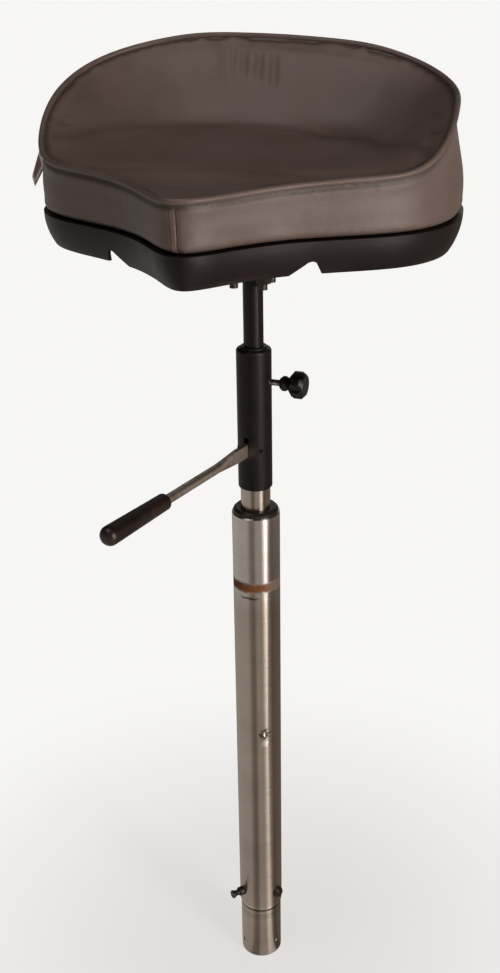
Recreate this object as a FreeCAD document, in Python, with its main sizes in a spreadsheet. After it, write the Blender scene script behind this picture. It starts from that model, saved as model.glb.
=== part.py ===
import FreeCAD, Part
import math
import os
import Sketcher
from FreeCAD import Vector

# Boat seat pedestal: a padded casting seat on a post, in the sleeve of a gas lift, in a spigoted tube.
# Frame: +Z up along the pole, origin at the middle of the spigot's shoulder, seat nose towards -Y.

SIZES = [
    ("tube_radius", 24.15, "lower tube, outside"),
    ("tube_bore", 21.5, "lower tube, inside"),
    ("tube_length", 501, "shoulder to mouth"),
    ("spigot_radius", 23, "turned-down lower end"),
    ("spigot_length", 74, "below the shoulder"),
    ("crimp_height", 245, "crimp mark above the shoulder"),
    ("crimp_yaw", 33, "crimp mark, turned from the nose"),
    ("crimp_ball", 6, "radius of the punch"),
    ("crimp_depth", 1.2, "depth of the mark"),
    ("lock_height", 18, "plunger and side screw above the shoulder"),
    ("lock_yaw", -43, "plunger, turned from the nose"),
    ("screw_yaw", 68, "side screw, turned from the nose"),
    ("drain_drop", 57, "small holes below the shoulder"),
    ("drain_radius", 2.4, "small holes"),
    ("fit_gap", 0.05, "radial gap of fixed and sliding fits"),
    ("face_gap", 0.3, "gap between faces that move apart"),
    ("rim_radius", 22.6, "bushing rim on the tube's mouth"),
    ("rim_height", 5, "bushing rim above the tube"),
    ("bush_length", 60, "bushing inside the tube"),
    ("guide_height", 24, "guide ring at the crimp mark"),
    ("plug_height", 20, "base plug"),
    ("race_radius", 12, "thrust bearing"),
    ("race_sheet", 1.5, "thickness of a race"),
    ("ball_radius", 2, "thrust balls"),
    ("ball_circle", 8.8, "radius of the ring of balls"),
    ("ball_count", 10, "thrust balls"),
    ("rod_radius", 6, "piston rod"),
    ("rod_tip", 4, "radius of the rod's lower end"),
    ("piston_height", 12, "piston on the rod"),
    ("piston_room", 26, "above the piston at the lowest stop"),
    ("bump_height", 8, "rubber ring"),
    ("bump_radius", 11, "rubber ring"),
    ("clip_sheet", 1.2, "rod clip"),
    ("clip_radius", 7.5, "rod clip"),
    ("lift_radius", 14.75, "pressure tube, outside"),
    ("lift_wall", 1.5, "pressure tube"),
    ("lift_shown", 22, "pressure tube in view at the lowest stop"),
    ("guide_length", 25, "rod guide in the pressure tube"),
    ("valve_length", 24, "valve body in the pressure tube"),
    ("valve_pin_radius", 3, "release pin"),
    ("sleeve_radius", 16.9, "black sleeve"),
    ("sleeve_length", 143, "black sleeve"),
    ("sleeve_crown", 3, "rounding of the sleeve's upper end"),
    ("sleeve_toe", 1.6, "rounding of the sleeve's lower end"),
    ("sleeve_grip", 29, "pressure tube inside the sleeve"),
    ("lever_height", 43, "lever above the sleeve's lower end"),
    ("lever_yaw", -15.5, "lever, turned from the nose"),
    ("lever_room", 19, "lever to the top of its chamber"),
    ("chamber_radius", 12.5, "chamber for the lever"),
    ("ledge_sheet", 4, "ledge over the chamber"),
    ("ledge_bore", 8, "hole in the ledge"),
    ("post_bore", 11.5, "sleeve bore for the bushes"),
    ("post_radius", 9.525, "seat post"),
    ("post_fit", 0.075, "radial running gap of the post"),
    ("washer_sheet", 2, "washer under the post"),
    ("lower_bush_length", 34, "lower bush of the post"),
    ("upper_bush_length", 25, "upper bush of the post"),
    ("lip_height", 2, "lip of the upper bush"),
    ("lip_radius", 13, "lip of the upper bush"),
    ("clamp_drop", 33, "clamp below the sleeve's top"),
    ("clamp_yaw", 86, "clamp, turned from the nose"),
    ("groove_depth", 1.5, "groove of the post at the clamp"),
    ("groove_height", 9, "groove of the post at the clamp"),
    ("stud_radius", 3, "clamp stud"),
    ("pad_radius", 2.5, "soft tip of the clamp"),
    ("pad_length", 3, "soft tip of the clamp"),
    ("neck_start", 27, "clamp neck from the pole's axis"),
    ("neck_length", 8, "clamp neck"),
    ("neck_radius", 7.3, "clamp neck"),
    ("knob_length", 17, "lobed head"),
    ("knob_radius", 13.2, "lobed head"),
    ("knob_lobes", 6, "lobes of the head"),
    ("flute_radius", 5.5, "hollows between the lobes"),
    ("pivot_reach", 11, "lever pin from the pole's axis"),
    ("pivot_radius", 2, "lever pin"),
    ("blade_height", 13, "flattened end of the lever"),
    ("blade_sheet", 5, "flattened end of the lever"),
    ("blade_tail", 7, "blade beyond the pole's axis"),
    ("blade_reach", 34, "blade's outer end from the axis"),
    ("taper_length", 34, "blade to round rod"),
    ("rod_round", 4.5, "radius of the lever rod"),
    ("grip_start", 150, "grip's inner end from the axis"),
    ("grip_length", 86, "vinyl grip"),
    ("grip_neck", 7.8, "radius of the grip's inner end"),
    ("grip_end", 9.1, "radius of the grip's outer end"),
    ("slot_width", 6.4, "slot in the sleeve"),
    ("slot_above", 13, "slot above the lever's middle"),
    ("slot_below", 7.5, "slot below the lever's middle"),
    ("post_shown", 74, "flange above the sleeve's top"),
    ("flange_side", 52, "square flange"),
    ("flange_sheet", 8, "square flange"),
    ("flange_corner", 6, "corner radius of the flange"),
    ("bolt_offset", 14, "flange bolts from the axis, each way"),
    ("bolt_radius", 4, "bolts"),
    ("bolt_head", 5.3, "height of a bolt head"),
    ("nut_height", 6.5, "nuts"),
    ("nut_corner", 7.5, "nut, middle to corner"),
    ("bolt_tip", 5.9, "bolt below its nut"),
    ("washer_radius", 8, "steel washers"),
    ("plain_sheet", 1.6, "steel washers"),
    ("hole_gap", 0.3, "holes wider than their bolts"),
    ("mount_side", 178, "pressed mount, square"),
    ("mount_sheet", 3, "pressed mount"),
    ("mount_corner", 14, "corner radius of the mount"),
    ("dish_depth", 25, "dish of the mount"),
    ("dish_floor", 42, "radius of the dish's floor"),
    ("dish_mouth", 68, "radius of the dish's mouth"),
    ("dish_hole", 10.5, "radius of the hole in its floor"),
    ("pan_bolt_offset", 63.5, "pan bolts from the axis, each way"),
    ("pan_lip", 6, "pan's lower edge below its bosses"),
    ("pan_depth", 28, "pan, lower edge to top"),
    ("pan_wall", 3.2, "pan"),
    ("pan_inset", 8, "pan's lower edge inside its top edge"),
    ("pan_mid_inset", 1.8, "pan's side halfway down"),
    ("boss_radius", 11, "bosses of the pan"),
    ("rib_sheet", 2.6, "ribs of the pan"),
    ("rib_depth", 13, "ribs of the pan"),
    ("tee_radius", 9.5, "flange of a tee nut"),
    ("tee_sheet", 1.2, "flange of a tee nut"),
    ("tee_barrel", 5.1, "barrel of a tee nut"),
    ("tee_length", 9, "barrel of a tee nut"),
    ("notch_height", 11.5, "notch in the pan's edge"),
    ("notch_near", 20, "notch, nose side"),
    ("notch_far", 10, "notch, wing side"),
    ("notch_out", 88, "notch, sideways"),
    ("notch_ahead", 125, "notch, ahead of the axis"),
    ("notch_yaw", 29, "notch, turned from the nose"),
    ("screw_radius", 2, "cushion screws"),
    ("screw_head", 4.5, "radius of a screw head"),
    ("screw_bite", 16, "cushion screws above the pan"),
    ("nose_reach", 200, "nose ahead of the axis"),
    ("cheek_out", 28, "side of the nose"),
    ("cheek_ahead", 179.5, "side of the nose"),
    ("waist_out", 72, "hollow beside the nose"),
    ("waist_ahead", 135.5, "hollow beside the nose"),
    ("thigh_out", 120.5, "front of the wing"),
    ("thigh_ahead", 108, "front of the wing"),
    ("wing_out", 163, "corner of the wing"),
    ("wing_ahead", 78.5, "corner of the wing"),
    ("hip_out", 185.5, "side of the wing"),
    ("hip_ahead", 33, "side of the wing"),
    ("half_width", 187.5, "widest place"),
    ("back_reach", 131, "back behind the axis"),
    ("back_square", 2.5, "squareness of the back's outline"),
    ("nose_height", 41, "side panel at the nose"),
    ("side_height", 46, "side panel at the wings"),
    ("valley_height", 53, "seat where it meets the backrest"),
    ("valley_reach", 60, "valley behind the axis"),
    ("wing_rise", 39, "rise at the wing's corner"),
    ("wing_from", 60, "where the rise starts, degrees from the nose"),
    ("wing_to", 90, "where it ends"),
    ("back_rise", 49, "rise along the backrest"),
    ("back_from", 70, "where it starts, degrees from the nose"),
    ("back_to", 150, "where it ends"),
    ("back_thick", 65, "backrest's slope, front to back"),
    ("crown", 3, "dome of the seat"),
    ("foot_inset", 1, "side panel's foot inside the pan's outline"),
    ("bulge", 3.4, "side panel's swell"),
    ("lean", 17, "top of the backrest inside the pan's outline"),
    ("weld_size", 2, "weld under the flange"),
    ("chamfer", 1, "chamfer of turned ends"),
    ("tag_width", 13, "sewn tag"),
    ("tag_height", 27, "sewn tag"),
    ("tag_sheet", 1.4, "sewn tag"),
    ("tag_yaw", -81, "sewn tag, turned from the nose"),
    ("tag_level", 16, "lower end of the tag above the pan"),
    ("lock_collar", 5, "plunger's collar"),
    ("collar_length", 5.5, "plunger's collar outside the tube"),
    ("shank_radius", 3.9, "plunger's threaded shank"),
    ("pin_radius", 1.8, "plunger's pin"),
    ("groove_room", 2.3, "groove round the base plug, depth"),
    ("groove_span", 6.8, "groove round the base plug, height"),
    ("pin_bite", 1.9, "plunger and side screw inside the tube's bore"),
    ("collar_sheet", 1, "collar on the plunger's pin"),
    ("end_wall", 1.5, "outer end of the plunger's housing"),
    ("spring_radius", 2.4, "plunger's spring, middle of the wire"),
    ("spring_wire", 0.35, "radius of its wire"),
    ("spring_turns", 3, "plunger's spring"),
    ("pull_length", 8.6, "flared pull knob"),
    ("pull_waist", 3, "flared pull knob"),
    ("pull_flare", 4.6, "flared pull knob"),
    ("dome_radius", 6.6, "head of the side screw"),
    ("dome_height", 4.2, "head of the side screw"),
]

doc = FreeCAD.newDocument("boat_seat_pedestal")
sheet = doc.addObject("Spreadsheet::Sheet", "sizes")
for row, (alias, number, note) in enumerate(SIZES, start=1):
    sheet.set("A%d" % row, alias)
    sheet.set("B%d" % row, "%s" % number)
    sheet.set("C%d" % row, note)
    sheet.setAlias("B%d" % row, alias)
doc.recompute()


class Size:
    """A size with its number and the expression that ties it to the sheet."""

    def __init__(self, number, text):
        self.number = number
        self.text = text

    def joined(self, sign, other, number):
        text = other.text if isinstance(other, Size) else "%s" % other
        return Size(number, "(%s %s %s)" % (self.text, sign, text))

    def __add__(self, other):
        return self.joined("+", other, self.number + plain(other))

    def __sub__(self, other):
        return self.joined("-", other, self.number - plain(other))

    def __mul__(self, other):
        return self.joined("*", other, self.number * plain(other))

    def __truediv__(self, other):
        return self.joined("/", other, self.number / plain(other))

    def __neg__(self):
        return self * -1


def plain(value):
    """The number of a size, or the number itself."""
    return value.number if isinstance(value, Size) else value


def words(value):
    """The expression of a size, or the number as text."""
    return value.text if isinstance(value, Size) else "%s" % value


class Sheet:
    """Each driving dimension by its alias."""


S = Sheet()
for alias, number, note in SIZES:
    setattr(S, alias, Size(float(number), "sizes.%s" % alias))

NOTHING = S.fit_gap * 0
SUBPARTS = []


def bind(item, name, value):
    """Ties one property to the sheet."""
    item.setExpression(name, words(value))


def place(item, x=0, y=0, z=0, yaw=0, roll=0):
    """Puts an object at a place, turned about the pole by yaw and tipped over its own X by roll."""
    spot = "vector(%s; %s; %s)" % (words(x), words(y), words(z))
    turn = "rotation(%s; 0; %s)" % (words(yaw), words(roll))
    item.setExpression("Placement", "placement(%s; %s)" % (spot, turn))


def subpart(item, label):
    """Names a finished piece after its file."""
    item.Label = label
    SUBPARTS.append(item)
    return item


def cylinder(name, radius, height, **where):
    item = doc.addObject("Part::Cylinder", name)
    bind(item, "Radius", radius)
    bind(item, "Height", height)
    place(item, **where)
    return item


def block(name, length, width, height, **where):
    item = doc.addObject("Part::Box", name)
    bind(item, "Length", length)
    bind(item, "Width", width)
    bind(item, "Height", height)
    place(item, **where)
    return item


def hexagon(name, corner, height, **where):
    item = doc.addObject("Part::Prism", name)
    item.Polygon = 6
    bind(item, "Circumradius", corner)
    bind(item, "Height", height)
    place(item, **where)
    return item


def cut(name, base, *tools):
    item = doc.addObject("Part::Cut", name)
    item.Base = base
    item.Tool = tools[0] if len(tools) == 1 else fuse(name + "_tools", *tools)
    return item


def fuse(name, *pieces):
    item = doc.addObject("Part::MultiFuse", name)
    item.Shapes = list(pieces)
    return item


def group(name, pieces):
    """Like pieces, each its own solid, in one sub-part."""
    item = doc.addObject("Part::Compound", name)
    item.Links = list(pieces)
    return item


def turned(name, outline, rounds=()):
    """A piece turned about its own Z axis, from the (radius, height) corners of its half outline.
    Each of rounds is (radius, height, rounding) and rounds the edge at that corner."""
    body = doc.addObject("PartDesign::Body", name)
    sketch = body.newObject("Sketcher::SketchObject", name + "_outline")
    plane = [part for part in body.Origin.OriginFeatures if part.Role == "XZ_Plane"][0]
    sketch.AttachmentSupport = [(plane, "")]
    sketch.MapMode = "FlatFace"
    count = len(outline)
    corners = [Vector(plain(radius), plain(height), 0) for radius, height in outline]
    for index in range(count):
        sketch.addGeometry(Part.LineSegment(corners[index], corners[(index + 1) % count]))
    for index in range(count):
        sketch.addConstraint(Sketcher.Constraint("Coincident", index, 2, (index + 1) % count, 1))
    for index, (radius, height) in enumerate(outline):
        if plain(radius) == 0:
            sketch.addConstraint(Sketcher.Constraint("PointOnObject", index, 1, -2))
        else:
            across = sketch.addConstraint(Sketcher.Constraint("DistanceX", -1, 1, index, 1, plain(radius)))
            sketch.setExpression("Constraints[%d]" % across, words(radius))
        up = sketch.addConstraint(Sketcher.Constraint("DistanceY", -1, 1, index, 1, plain(height)))
        sketch.setExpression("Constraints[%d]" % up, words(height))
    turn = body.newObject("PartDesign::Revolution", name + "_turned")
    turn.Profile = sketch
    turn.ReferenceAxis = (sketch, ["V_Axis"])
    turn.Angle = 360
    body.Tip = turn
    if rounds:
        doc.recompute()
    for radius, height, rounding in rounds:
        before = body.Tip
        names = circles_at(before.Shape, plain(radius), plain(height))
        fillet = body.newObject("PartDesign::Fillet", name + "_rounded")
        fillet.Base = (before, names)
        bind(fillet, "Radius", rounding)
        body.Tip = fillet
        doc.recompute()
    return body


def circles_at(shape, radius, height):
    """Names of a turned shape's circular edges at one radius and height."""
    near = 0.001
    names = []
    for index, edge in enumerate(shape.Edges, start=1):
        if not isinstance(edge.Curve, Part.Circle):
            continue
        if abs(edge.Curve.Radius - radius) < near and abs(edge.Curve.Center.z - height) < near:
            names.append("Edge%d" % index)
    return names


def four(offset):
    """The four places of a square bolt pattern."""
    return [(offset * x, offset * y) for x in (-1, 1) for y in (-1, 1)]


# Levels along the pole, from the shoulder up
mouth = S.tube_length
rim_top = mouth + S.rim_height
plug_bottom = S.lock_height - S.plug_height / 2
plug_top = plug_bottom + S.plug_height
ball_middle = plug_top + S.race_sheet + S.fit_gap * 2 + S.ball_radius
race_bottom = ball_middle + S.ball_radius + S.fit_gap * 2
race_top = race_bottom + S.race_sheet
bump_bottom = race_top + S.fit_gap
lift_bottom = bump_bottom + S.bump_height + S.face_gap
sleeve_bottom = rim_top + S.lift_shown
sleeve_top = sleeve_bottom + S.sleeve_length
lift_top = sleeve_bottom + S.sleeve_grip
lever_level = sleeve_bottom + S.lever_height
chamber_top = lever_level + S.lever_room
ledge_top = chamber_top + S.ledge_sheet
clamp_level = sleeve_top - S.clamp_drop
flange_bottom = sleeve_top + S.post_shown
flange_top = flange_bottom + S.flange_sheet
dish_top = flange_top + S.mount_sheet
mount_bottom = flange_top + S.dish_depth
mount_top = mount_bottom + S.mount_sheet
pan_bottom = mount_top - S.pan_lip
pan_top = pan_bottom + S.pan_depth
deck_bottom = pan_top - S.pan_wall


def root(size):
    """Square root of a size."""
    return Size(math.sqrt(size.number), "sqrt(%s)" % size.text)


def along(item, yaw, start, height):
    """Points an object's Z axis straight out from the pole at a yaw, from a distance off the axis."""
    turn = words(yaw)
    spot = "vector(sin(%s) * %s; -cos(%s) * %s; %s)" % (turn, words(start), turn, words(start), words(height))
    item.setExpression("Placement", "placement(%s; rotation(%s; 0; 90))" % (spot, turn))
    return item


def across(item, yaw, reach, length, height):
    """Lays an object of some length crossways to the direction of a yaw, at a reach from the pole."""
    turn = words(yaw)
    ahead = words(reach)
    half = words(length / 2)
    x = "sin(%s) * %s - cos(%s) * %s" % (turn, ahead, turn, half)
    y = "-cos(%s) * %s - sin(%s) * %s" % (turn, ahead, turn, half)
    item.setExpression("Placement", "placement(vector(%s; %s; %s); rotation(%s; 90; 0))"
                       % (x, y, words(height), turn))
    return item


def ring(name, inner, outer, height, **where):
    """A flat washer or plain ring."""
    disc = cylinder(name + "_disc", outer, height, **where)
    hole = cylinder(name + "_hole", inner, height, **where)
    return cut(name, disc, hole)


def rounded_plate(name, side, thickness, corner, level):
    """A square plate with rounded corners, centred on the pole."""
    plate = block(name + "_square", side, side, thickness, x=-side / 2, y=-side / 2, z=level)
    doc.recompute()
    rounded = doc.addObject("Part::Fillet", name)
    rounded.Base = plate
    upright = []
    for index, edge in enumerate(plate.Shape.Edges, start=1):
        if abs(edge.tangentAt(edge.FirstParameter).z) > 0.99:
            upright.append((index, plain(corner), plain(corner)))
    rounded.Edges = upright
    return rounded


# Lower tube: steel tube whose lower end is turned down to the spigot, with a crimp mark and small holes
tube = turned("tube_blank", [
    (S.tube_bore, -S.spigot_length), (S.spigot_radius - S.chamfer, -S.spigot_length),
    (S.spigot_radius, S.chamfer - S.spigot_length), (S.spigot_radius, NOTHING), (S.tube_radius, NOTHING),
    (S.tube_radius, mouth - S.chamfer), (S.tube_radius - S.chamfer, mouth), (S.tube_bore, mouth)])
punch = doc.addObject("Part::Sphere", "crimp_punch")
bind(punch, "Radius", S.crimp_ball)
along(punch, S.crimp_yaw, S.tube_radius + S.crimp_ball - S.crimp_depth, S.crimp_height)
tube_holes = []
for name, radius, yaw, height in [
        ("lock_hole", S.shank_radius + S.fit_gap, S.lock_yaw, S.lock_height),
        ("side_screw_hole", S.stud_radius + S.fit_gap, S.screw_yaw, S.lock_height),
        ("left_drain", S.drain_radius, S.lock_yaw, -S.drain_drop),
        ("right_drain", S.drain_radius, S.screw_yaw, -S.drain_drop)]:
    hole = cylinder(name, radius, S.tube_radius)
    tube_holes.append(along(hole, yaw, S.tube_bore / 2, height))
subpart(cut("tube_drilled", tube, punch, *tube_holes), "lower_tube")

# Top bushing: black acetal, pressed into the tube, with a chamfered rim above its mouth
slide_bore = S.lift_radius + S.fit_gap
tube_fit = S.tube_bore - S.fit_gap
subpart(turned("bushing_turned", [
    (slide_bore, mouth - S.bush_length), (tube_fit, mouth - S.bush_length), (tube_fit, mouth),
    (S.rim_radius, mouth), (S.rim_radius, rim_top - S.rim_height / 2),
    (S.rim_radius - S.rim_height / 2, rim_top), (slide_bore, rim_top)]), "top_bushing")

# Lower guide: plain acetal ring held at the crimp mark
guide_bottom = S.crimp_height - S.guide_height / 2
guide_top = S.crimp_height + S.guide_height / 2
subpart(turned("guide_ring", [
    (slide_bore, guide_bottom), (tube_fit, guide_bottom), (tube_fit, guide_top), (slide_bore, guide_top)]),
    "lower_guide")

# Base plug: aluminium, carries the thrust bearing; plunger and side screw hold it by its groove
groove_floor = S.tube_bore - S.groove_room
groove_half = S.groove_span / 2
tip_fit = S.rod_tip + S.fit_gap
subpart(turned("plug_turned", [
    (tip_fit, plug_bottom), (tube_fit, plug_bottom), (tube_fit, S.lock_height - groove_half),
    (groove_floor, S.lock_height - groove_half), (groove_floor, S.lock_height + groove_half),
    (tube_fit, S.lock_height + groove_half), (tube_fit, plug_top), (tip_fit, plug_top)]), "base_plug")

# Thrust bearing: two races with a ring of loose balls between them, on which the seat and lift turn
subpart(turned("race_below", [
    (tip_fit, plug_top), (S.race_radius, plug_top), (S.race_radius, plug_top + S.race_sheet),
    (tip_fit, plug_top + S.race_sheet)]), "lower_race")
balls = []
for index in range(int(S.ball_count.number)):
    ball = doc.addObject("Part::Sphere", "ball_%d" % index)
    bind(ball, "Radius", S.ball_radius)
    balls.append(along(ball, Size(360.0, "360") / S.ball_count * index, S.ball_circle, ball_middle))
subpart(group("ball_ring", balls), "thrust_balls")
subpart(turned("race_above", [
    (tip_fit, race_bottom), (S.race_radius, race_bottom), (S.race_radius, race_top), (tip_fit, race_top)]),
    "upper_race")

# Piston rod: stands on the upper race, its tip goes down through the plug, its piston is inside the lift
lift_bore = S.lift_radius - S.lift_wall
clip_top = plug_bottom - S.face_gap
clip_bottom = clip_top - S.clip_sheet
clip_seat = S.rod_tip - S.chamfer
rod_shoulder = bump_bottom
piston_top = lift_top - S.valve_length - S.piston_room
piston_bottom = piston_top - S.piston_height
piston_radius = lift_bore - S.fit_gap * 2
subpart(turned("rod_turned", [
    (NOTHING, clip_bottom - S.clip_sheet), (S.rod_tip, clip_bottom - S.clip_sheet), (S.rod_tip, clip_bottom),
    (clip_seat, clip_bottom), (clip_seat, clip_top), (S.rod_tip, clip_top), (S.rod_tip, rod_shoulder),
    (S.rod_radius, rod_shoulder), (S.rod_radius, piston_bottom), (piston_radius, piston_bottom),
    (piston_radius, piston_top), (NOTHING, piston_top)]), "piston_rod")
subpart(ring("clip_ring", clip_seat + S.fit_gap, S.clip_radius, S.clip_sheet, z=clip_bottom), "rod_clip")
rod_fit = S.rod_radius + S.fit_gap
subpart(turned("rubber_ring", [
    (rod_fit, bump_bottom), (S.bump_radius, bump_bottom), (S.bump_radius, bump_bottom + S.bump_height / 2),
    (S.bump_radius - S.chamfer, bump_bottom + S.bump_height), (rod_fit, bump_bottom + S.bump_height)]),
    "bump_ring")

# Gas lift: pressure tube with its rod guide below and its valve body above
lift_edge = S.lift_radius - S.chamfer
subpart(turned("pressure_turned", [
    (lift_bore, lift_bottom), (lift_edge, lift_bottom), (S.lift_radius, lift_bottom + S.chamfer),
    (S.lift_radius, lift_top - S.chamfer), (lift_edge, lift_top), (lift_bore, lift_top)]), "pressure_tube")
lift_fit = lift_bore - S.fit_gap
subpart(turned("guide_turned", [
    (rod_fit, lift_bottom), (lift_fit, lift_bottom), (lift_fit, lift_bottom + S.guide_length),
    (rod_fit, lift_bottom + S.guide_length)]), "rod_guide")
valve_fit = S.valve_pin_radius + S.fit_gap
subpart(turned("valve_turned", [
    (valve_fit, lift_top - S.valve_length), (lift_fit, lift_top - S.valve_length), (lift_fit, lift_top),
    (valve_fit, lift_top)]), "valve_body")
valve_pin_top = lever_level - S.blade_height / 2 - S.face_gap
valve_pin_bottom = lift_top - S.valve_length * 0.7
dome_dip = S.valve_pin_radius / 3
subpart(turned("release_pin", [
    (NOTHING, valve_pin_bottom), (S.valve_pin_radius, valve_pin_bottom),
    (S.valve_pin_radius, valve_pin_top - dome_dip), (S.valve_pin_radius / 2, valve_pin_top - dome_dip / 5),
    (NOTHING, valve_pin_top)]), "valve_pin")

# Sleeve: black steel, grips the pressure tube below, holds the lever in its middle and the post above
sleeve = turned("sleeve_turned", [
    (slide_bore, sleeve_bottom), (S.sleeve_radius, sleeve_bottom), (S.sleeve_radius, sleeve_top),
    (S.post_bore, sleeve_top), (S.post_bore, ledge_top), (S.ledge_bore, ledge_top),
    (S.ledge_bore, chamber_top), (S.chamber_radius, chamber_top), (S.chamber_radius, lift_top + S.fit_gap),
    (slide_bore, lift_top + S.fit_gap)],
    rounds=[(S.sleeve_radius, sleeve_top, S.sleeve_crown), (S.sleeve_radius, sleeve_bottom, S.sleeve_toe)])
slot_reach = S.sleeve_radius * 1.2
slot_block = block("slot_block", S.slot_width, slot_reach, S.slot_above + S.slot_below,
                   x=-S.slot_width / 2, y=-slot_reach, z=lever_level - S.slot_below)
slot = group("lever_slot", [slot_block])
place(slot, yaw=S.lever_yaw)
pin_length = root(S.sleeve_radius * S.sleeve_radius - S.pivot_reach * S.pivot_reach) * 2 - S.chamfer
pin_hole = cylinder("lever_pin_hole", S.pivot_radius + S.fit_gap, S.sleeve_radius * 2)
across(pin_hole, S.lever_yaw, S.pivot_reach, S.sleeve_radius * 2, lever_level)
clamp_hole = cylinder("clamp_hole", S.stud_radius + S.fit_gap, S.sleeve_radius)
along(clamp_hole, S.clamp_yaw, S.post_radius, clamp_level)
subpart(cut("sleeve_cut", sleeve, slot, pin_hole, clamp_hole), "lever_sleeve")
lever_pin = cylinder("pivot_pin", S.pivot_radius, pin_length)
subpart(across(lever_pin, S.lever_yaw, S.pivot_reach, pin_length, lever_level), "lever_pin")

# Bearings of the post: acetal bushes above and below the clamp, and a washer that the post stands on
post_fit = S.post_radius + S.post_fit
bush_fit = S.post_bore - S.fit_gap
washer_top = ledge_top + S.washer_sheet
subpart(ring("post_disc", S.rod_tip, bush_fit, S.washer_sheet, z=ledge_top), "post_washer")
subpart(turned("bush_below", [
    (post_fit, washer_top), (bush_fit, washer_top), (bush_fit, washer_top + S.lower_bush_length),
    (post_fit, washer_top + S.lower_bush_length)]), "lower_bush")
subpart(turned("bush_above", [
    (post_fit, sleeve_top - S.upper_bush_length), (bush_fit, sleeve_top - S.upper_bush_length),
    (bush_fit, sleeve_top), (S.lip_radius, sleeve_top), (S.lip_radius, sleeve_top + S.lip_height / 2),
    (S.lip_radius - S.lip_height / 2, sleeve_top + S.lip_height), (post_fit, sleeve_top + S.lip_height)]),
    "upper_bush")

# Height lever: bright rod flattened to a blade that lies over the valve pin, with a vinyl grip
blade = block("blade", S.blade_sheet, S.blade_tail + S.blade_reach, S.blade_height,
              x=-S.blade_sheet / 2, y=-S.blade_reach, z=-S.blade_height / 2)
blade_end = doc.addObject("Part::Plane", "blade_end")
bind(blade_end, "Length", S.blade_sheet)
bind(blade_end, "Width", S.blade_height)
place(blade_end, x=-S.blade_sheet / 2, y=-S.blade_reach, z=-S.blade_height / 2, roll=90)
rod_start = S.blade_reach + S.taper_length
round_end = doc.addObject("Part::Circle", "round_end")
bind(round_end, "Radius", S.rod_round)
place(round_end, y=-rod_start, roll=90)
taper = doc.addObject("Part::Loft", "blade_taper")
taper.Sections = [blade_end, round_end]
taper.Solid = True
rod_inside = S.grip_length * 0.7
round_rod = cylinder("round_rod", S.rod_round, S.grip_start + rod_inside - rod_start, y=-rod_start, roll=90)
pivot_hole = cylinder("blade_hole", S.pivot_radius + S.fit_gap, S.blade_sheet * 2)
pivot_hole.setExpression("Placement", "placement(vector(-%s; -%s; 0); rotation(0; 90; 0))"
                         % (S.blade_sheet.text, S.pivot_reach.text))
lever = cut("lever_drilled", fuse("lever_forged", blade, taper, round_rod), pivot_hole)
place(lever, z=lever_level, yaw=S.lever_yaw)
subpart(lever, "lever_rod")
grip_bore = S.rod_round + S.fit_gap
grip_far = S.grip_start + S.grip_length
grip = turned("grip_turned", [
    (grip_bore, S.grip_start), (S.grip_neck, S.grip_start), (S.grip_end, grip_far),
    (NOTHING, grip_far), (NOTHING, S.grip_start + rod_inside + S.face_gap),
    (grip_bore, S.grip_start + rod_inside + S.face_gap)],
    rounds=[(S.grip_end, grip_far, S.grip_end * 0.85), (S.grip_neck, S.grip_start, S.chamfer * 2)])
subpart(along(grip, S.lever_yaw, NOTHING, lever_level), "lever_grip")

# Clamp: threaded stud with a soft tip in the post's groove and a lobed knob moulded on its outer end
post_groove = S.post_radius - S.groove_depth
pad_start = post_groove + S.face_gap
stud_start = pad_start + S.pad_length
neck_end = S.neck_start + S.neck_length
knob_end = neck_end + S.knob_length
subpart(along(turned("pad_turned", [
    (NOTHING, pad_start), (S.pad_radius, pad_start), (S.pad_radius, stud_start), (NOTHING, stud_start)]),
    S.clamp_yaw, NOTHING, clamp_level), "clamp_pad")
stud_end = neck_end + S.knob_length / 2
subpart(along(turned("stud_turned", [
    (NOTHING, stud_start), (S.stud_radius, stud_start), (S.stud_radius, stud_end), (NOTHING, stud_end)]),
    S.clamp_yaw, NOTHING, clamp_level), "clamp_stud")
knob_waist = S.neck_radius * 0.78
knob = turned("knob_turned", [
    (S.stud_radius + S.fit_gap, S.neck_start), (S.neck_radius * 0.7, S.neck_start),
    (S.neck_radius, S.neck_start + S.neck_length / 3), (S.neck_radius, S.neck_start + S.neck_length * 2 / 3),
    (knob_waist, neck_end), (S.knob_radius, neck_end + S.knob_length * 0.35),
    (S.knob_radius, knob_end - S.knob_length * 0.2), (S.knob_radius * 0.75, knob_end), (NOTHING, knob_end),
    (NOTHING, stud_end + S.face_gap), (S.stud_radius + S.fit_gap, stud_end + S.face_gap)])
flutes = []
for index in range(int(S.knob_lobes.number)):
    flute = cylinder("flute_%d" % index, S.flute_radius, S.knob_length * 2, z=neck_end)
    turn = words(Size(360.0, "360") / S.knob_lobes * index)
    reach = words(S.knob_radius + S.flute_radius * 0.55)
    flute.setExpression("Placement", "placement(vector(cos(%s) * %s; sin(%s) * %s; %s); rotation(0; 0; 0))"
                        % (turn, reach, turn, reach, neck_end.text))
    flutes.append(flute)
subpart(along(cut("knob_fluted", knob, *flutes), S.clamp_yaw, NOTHING, clamp_level), "clamp_knob")

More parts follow.
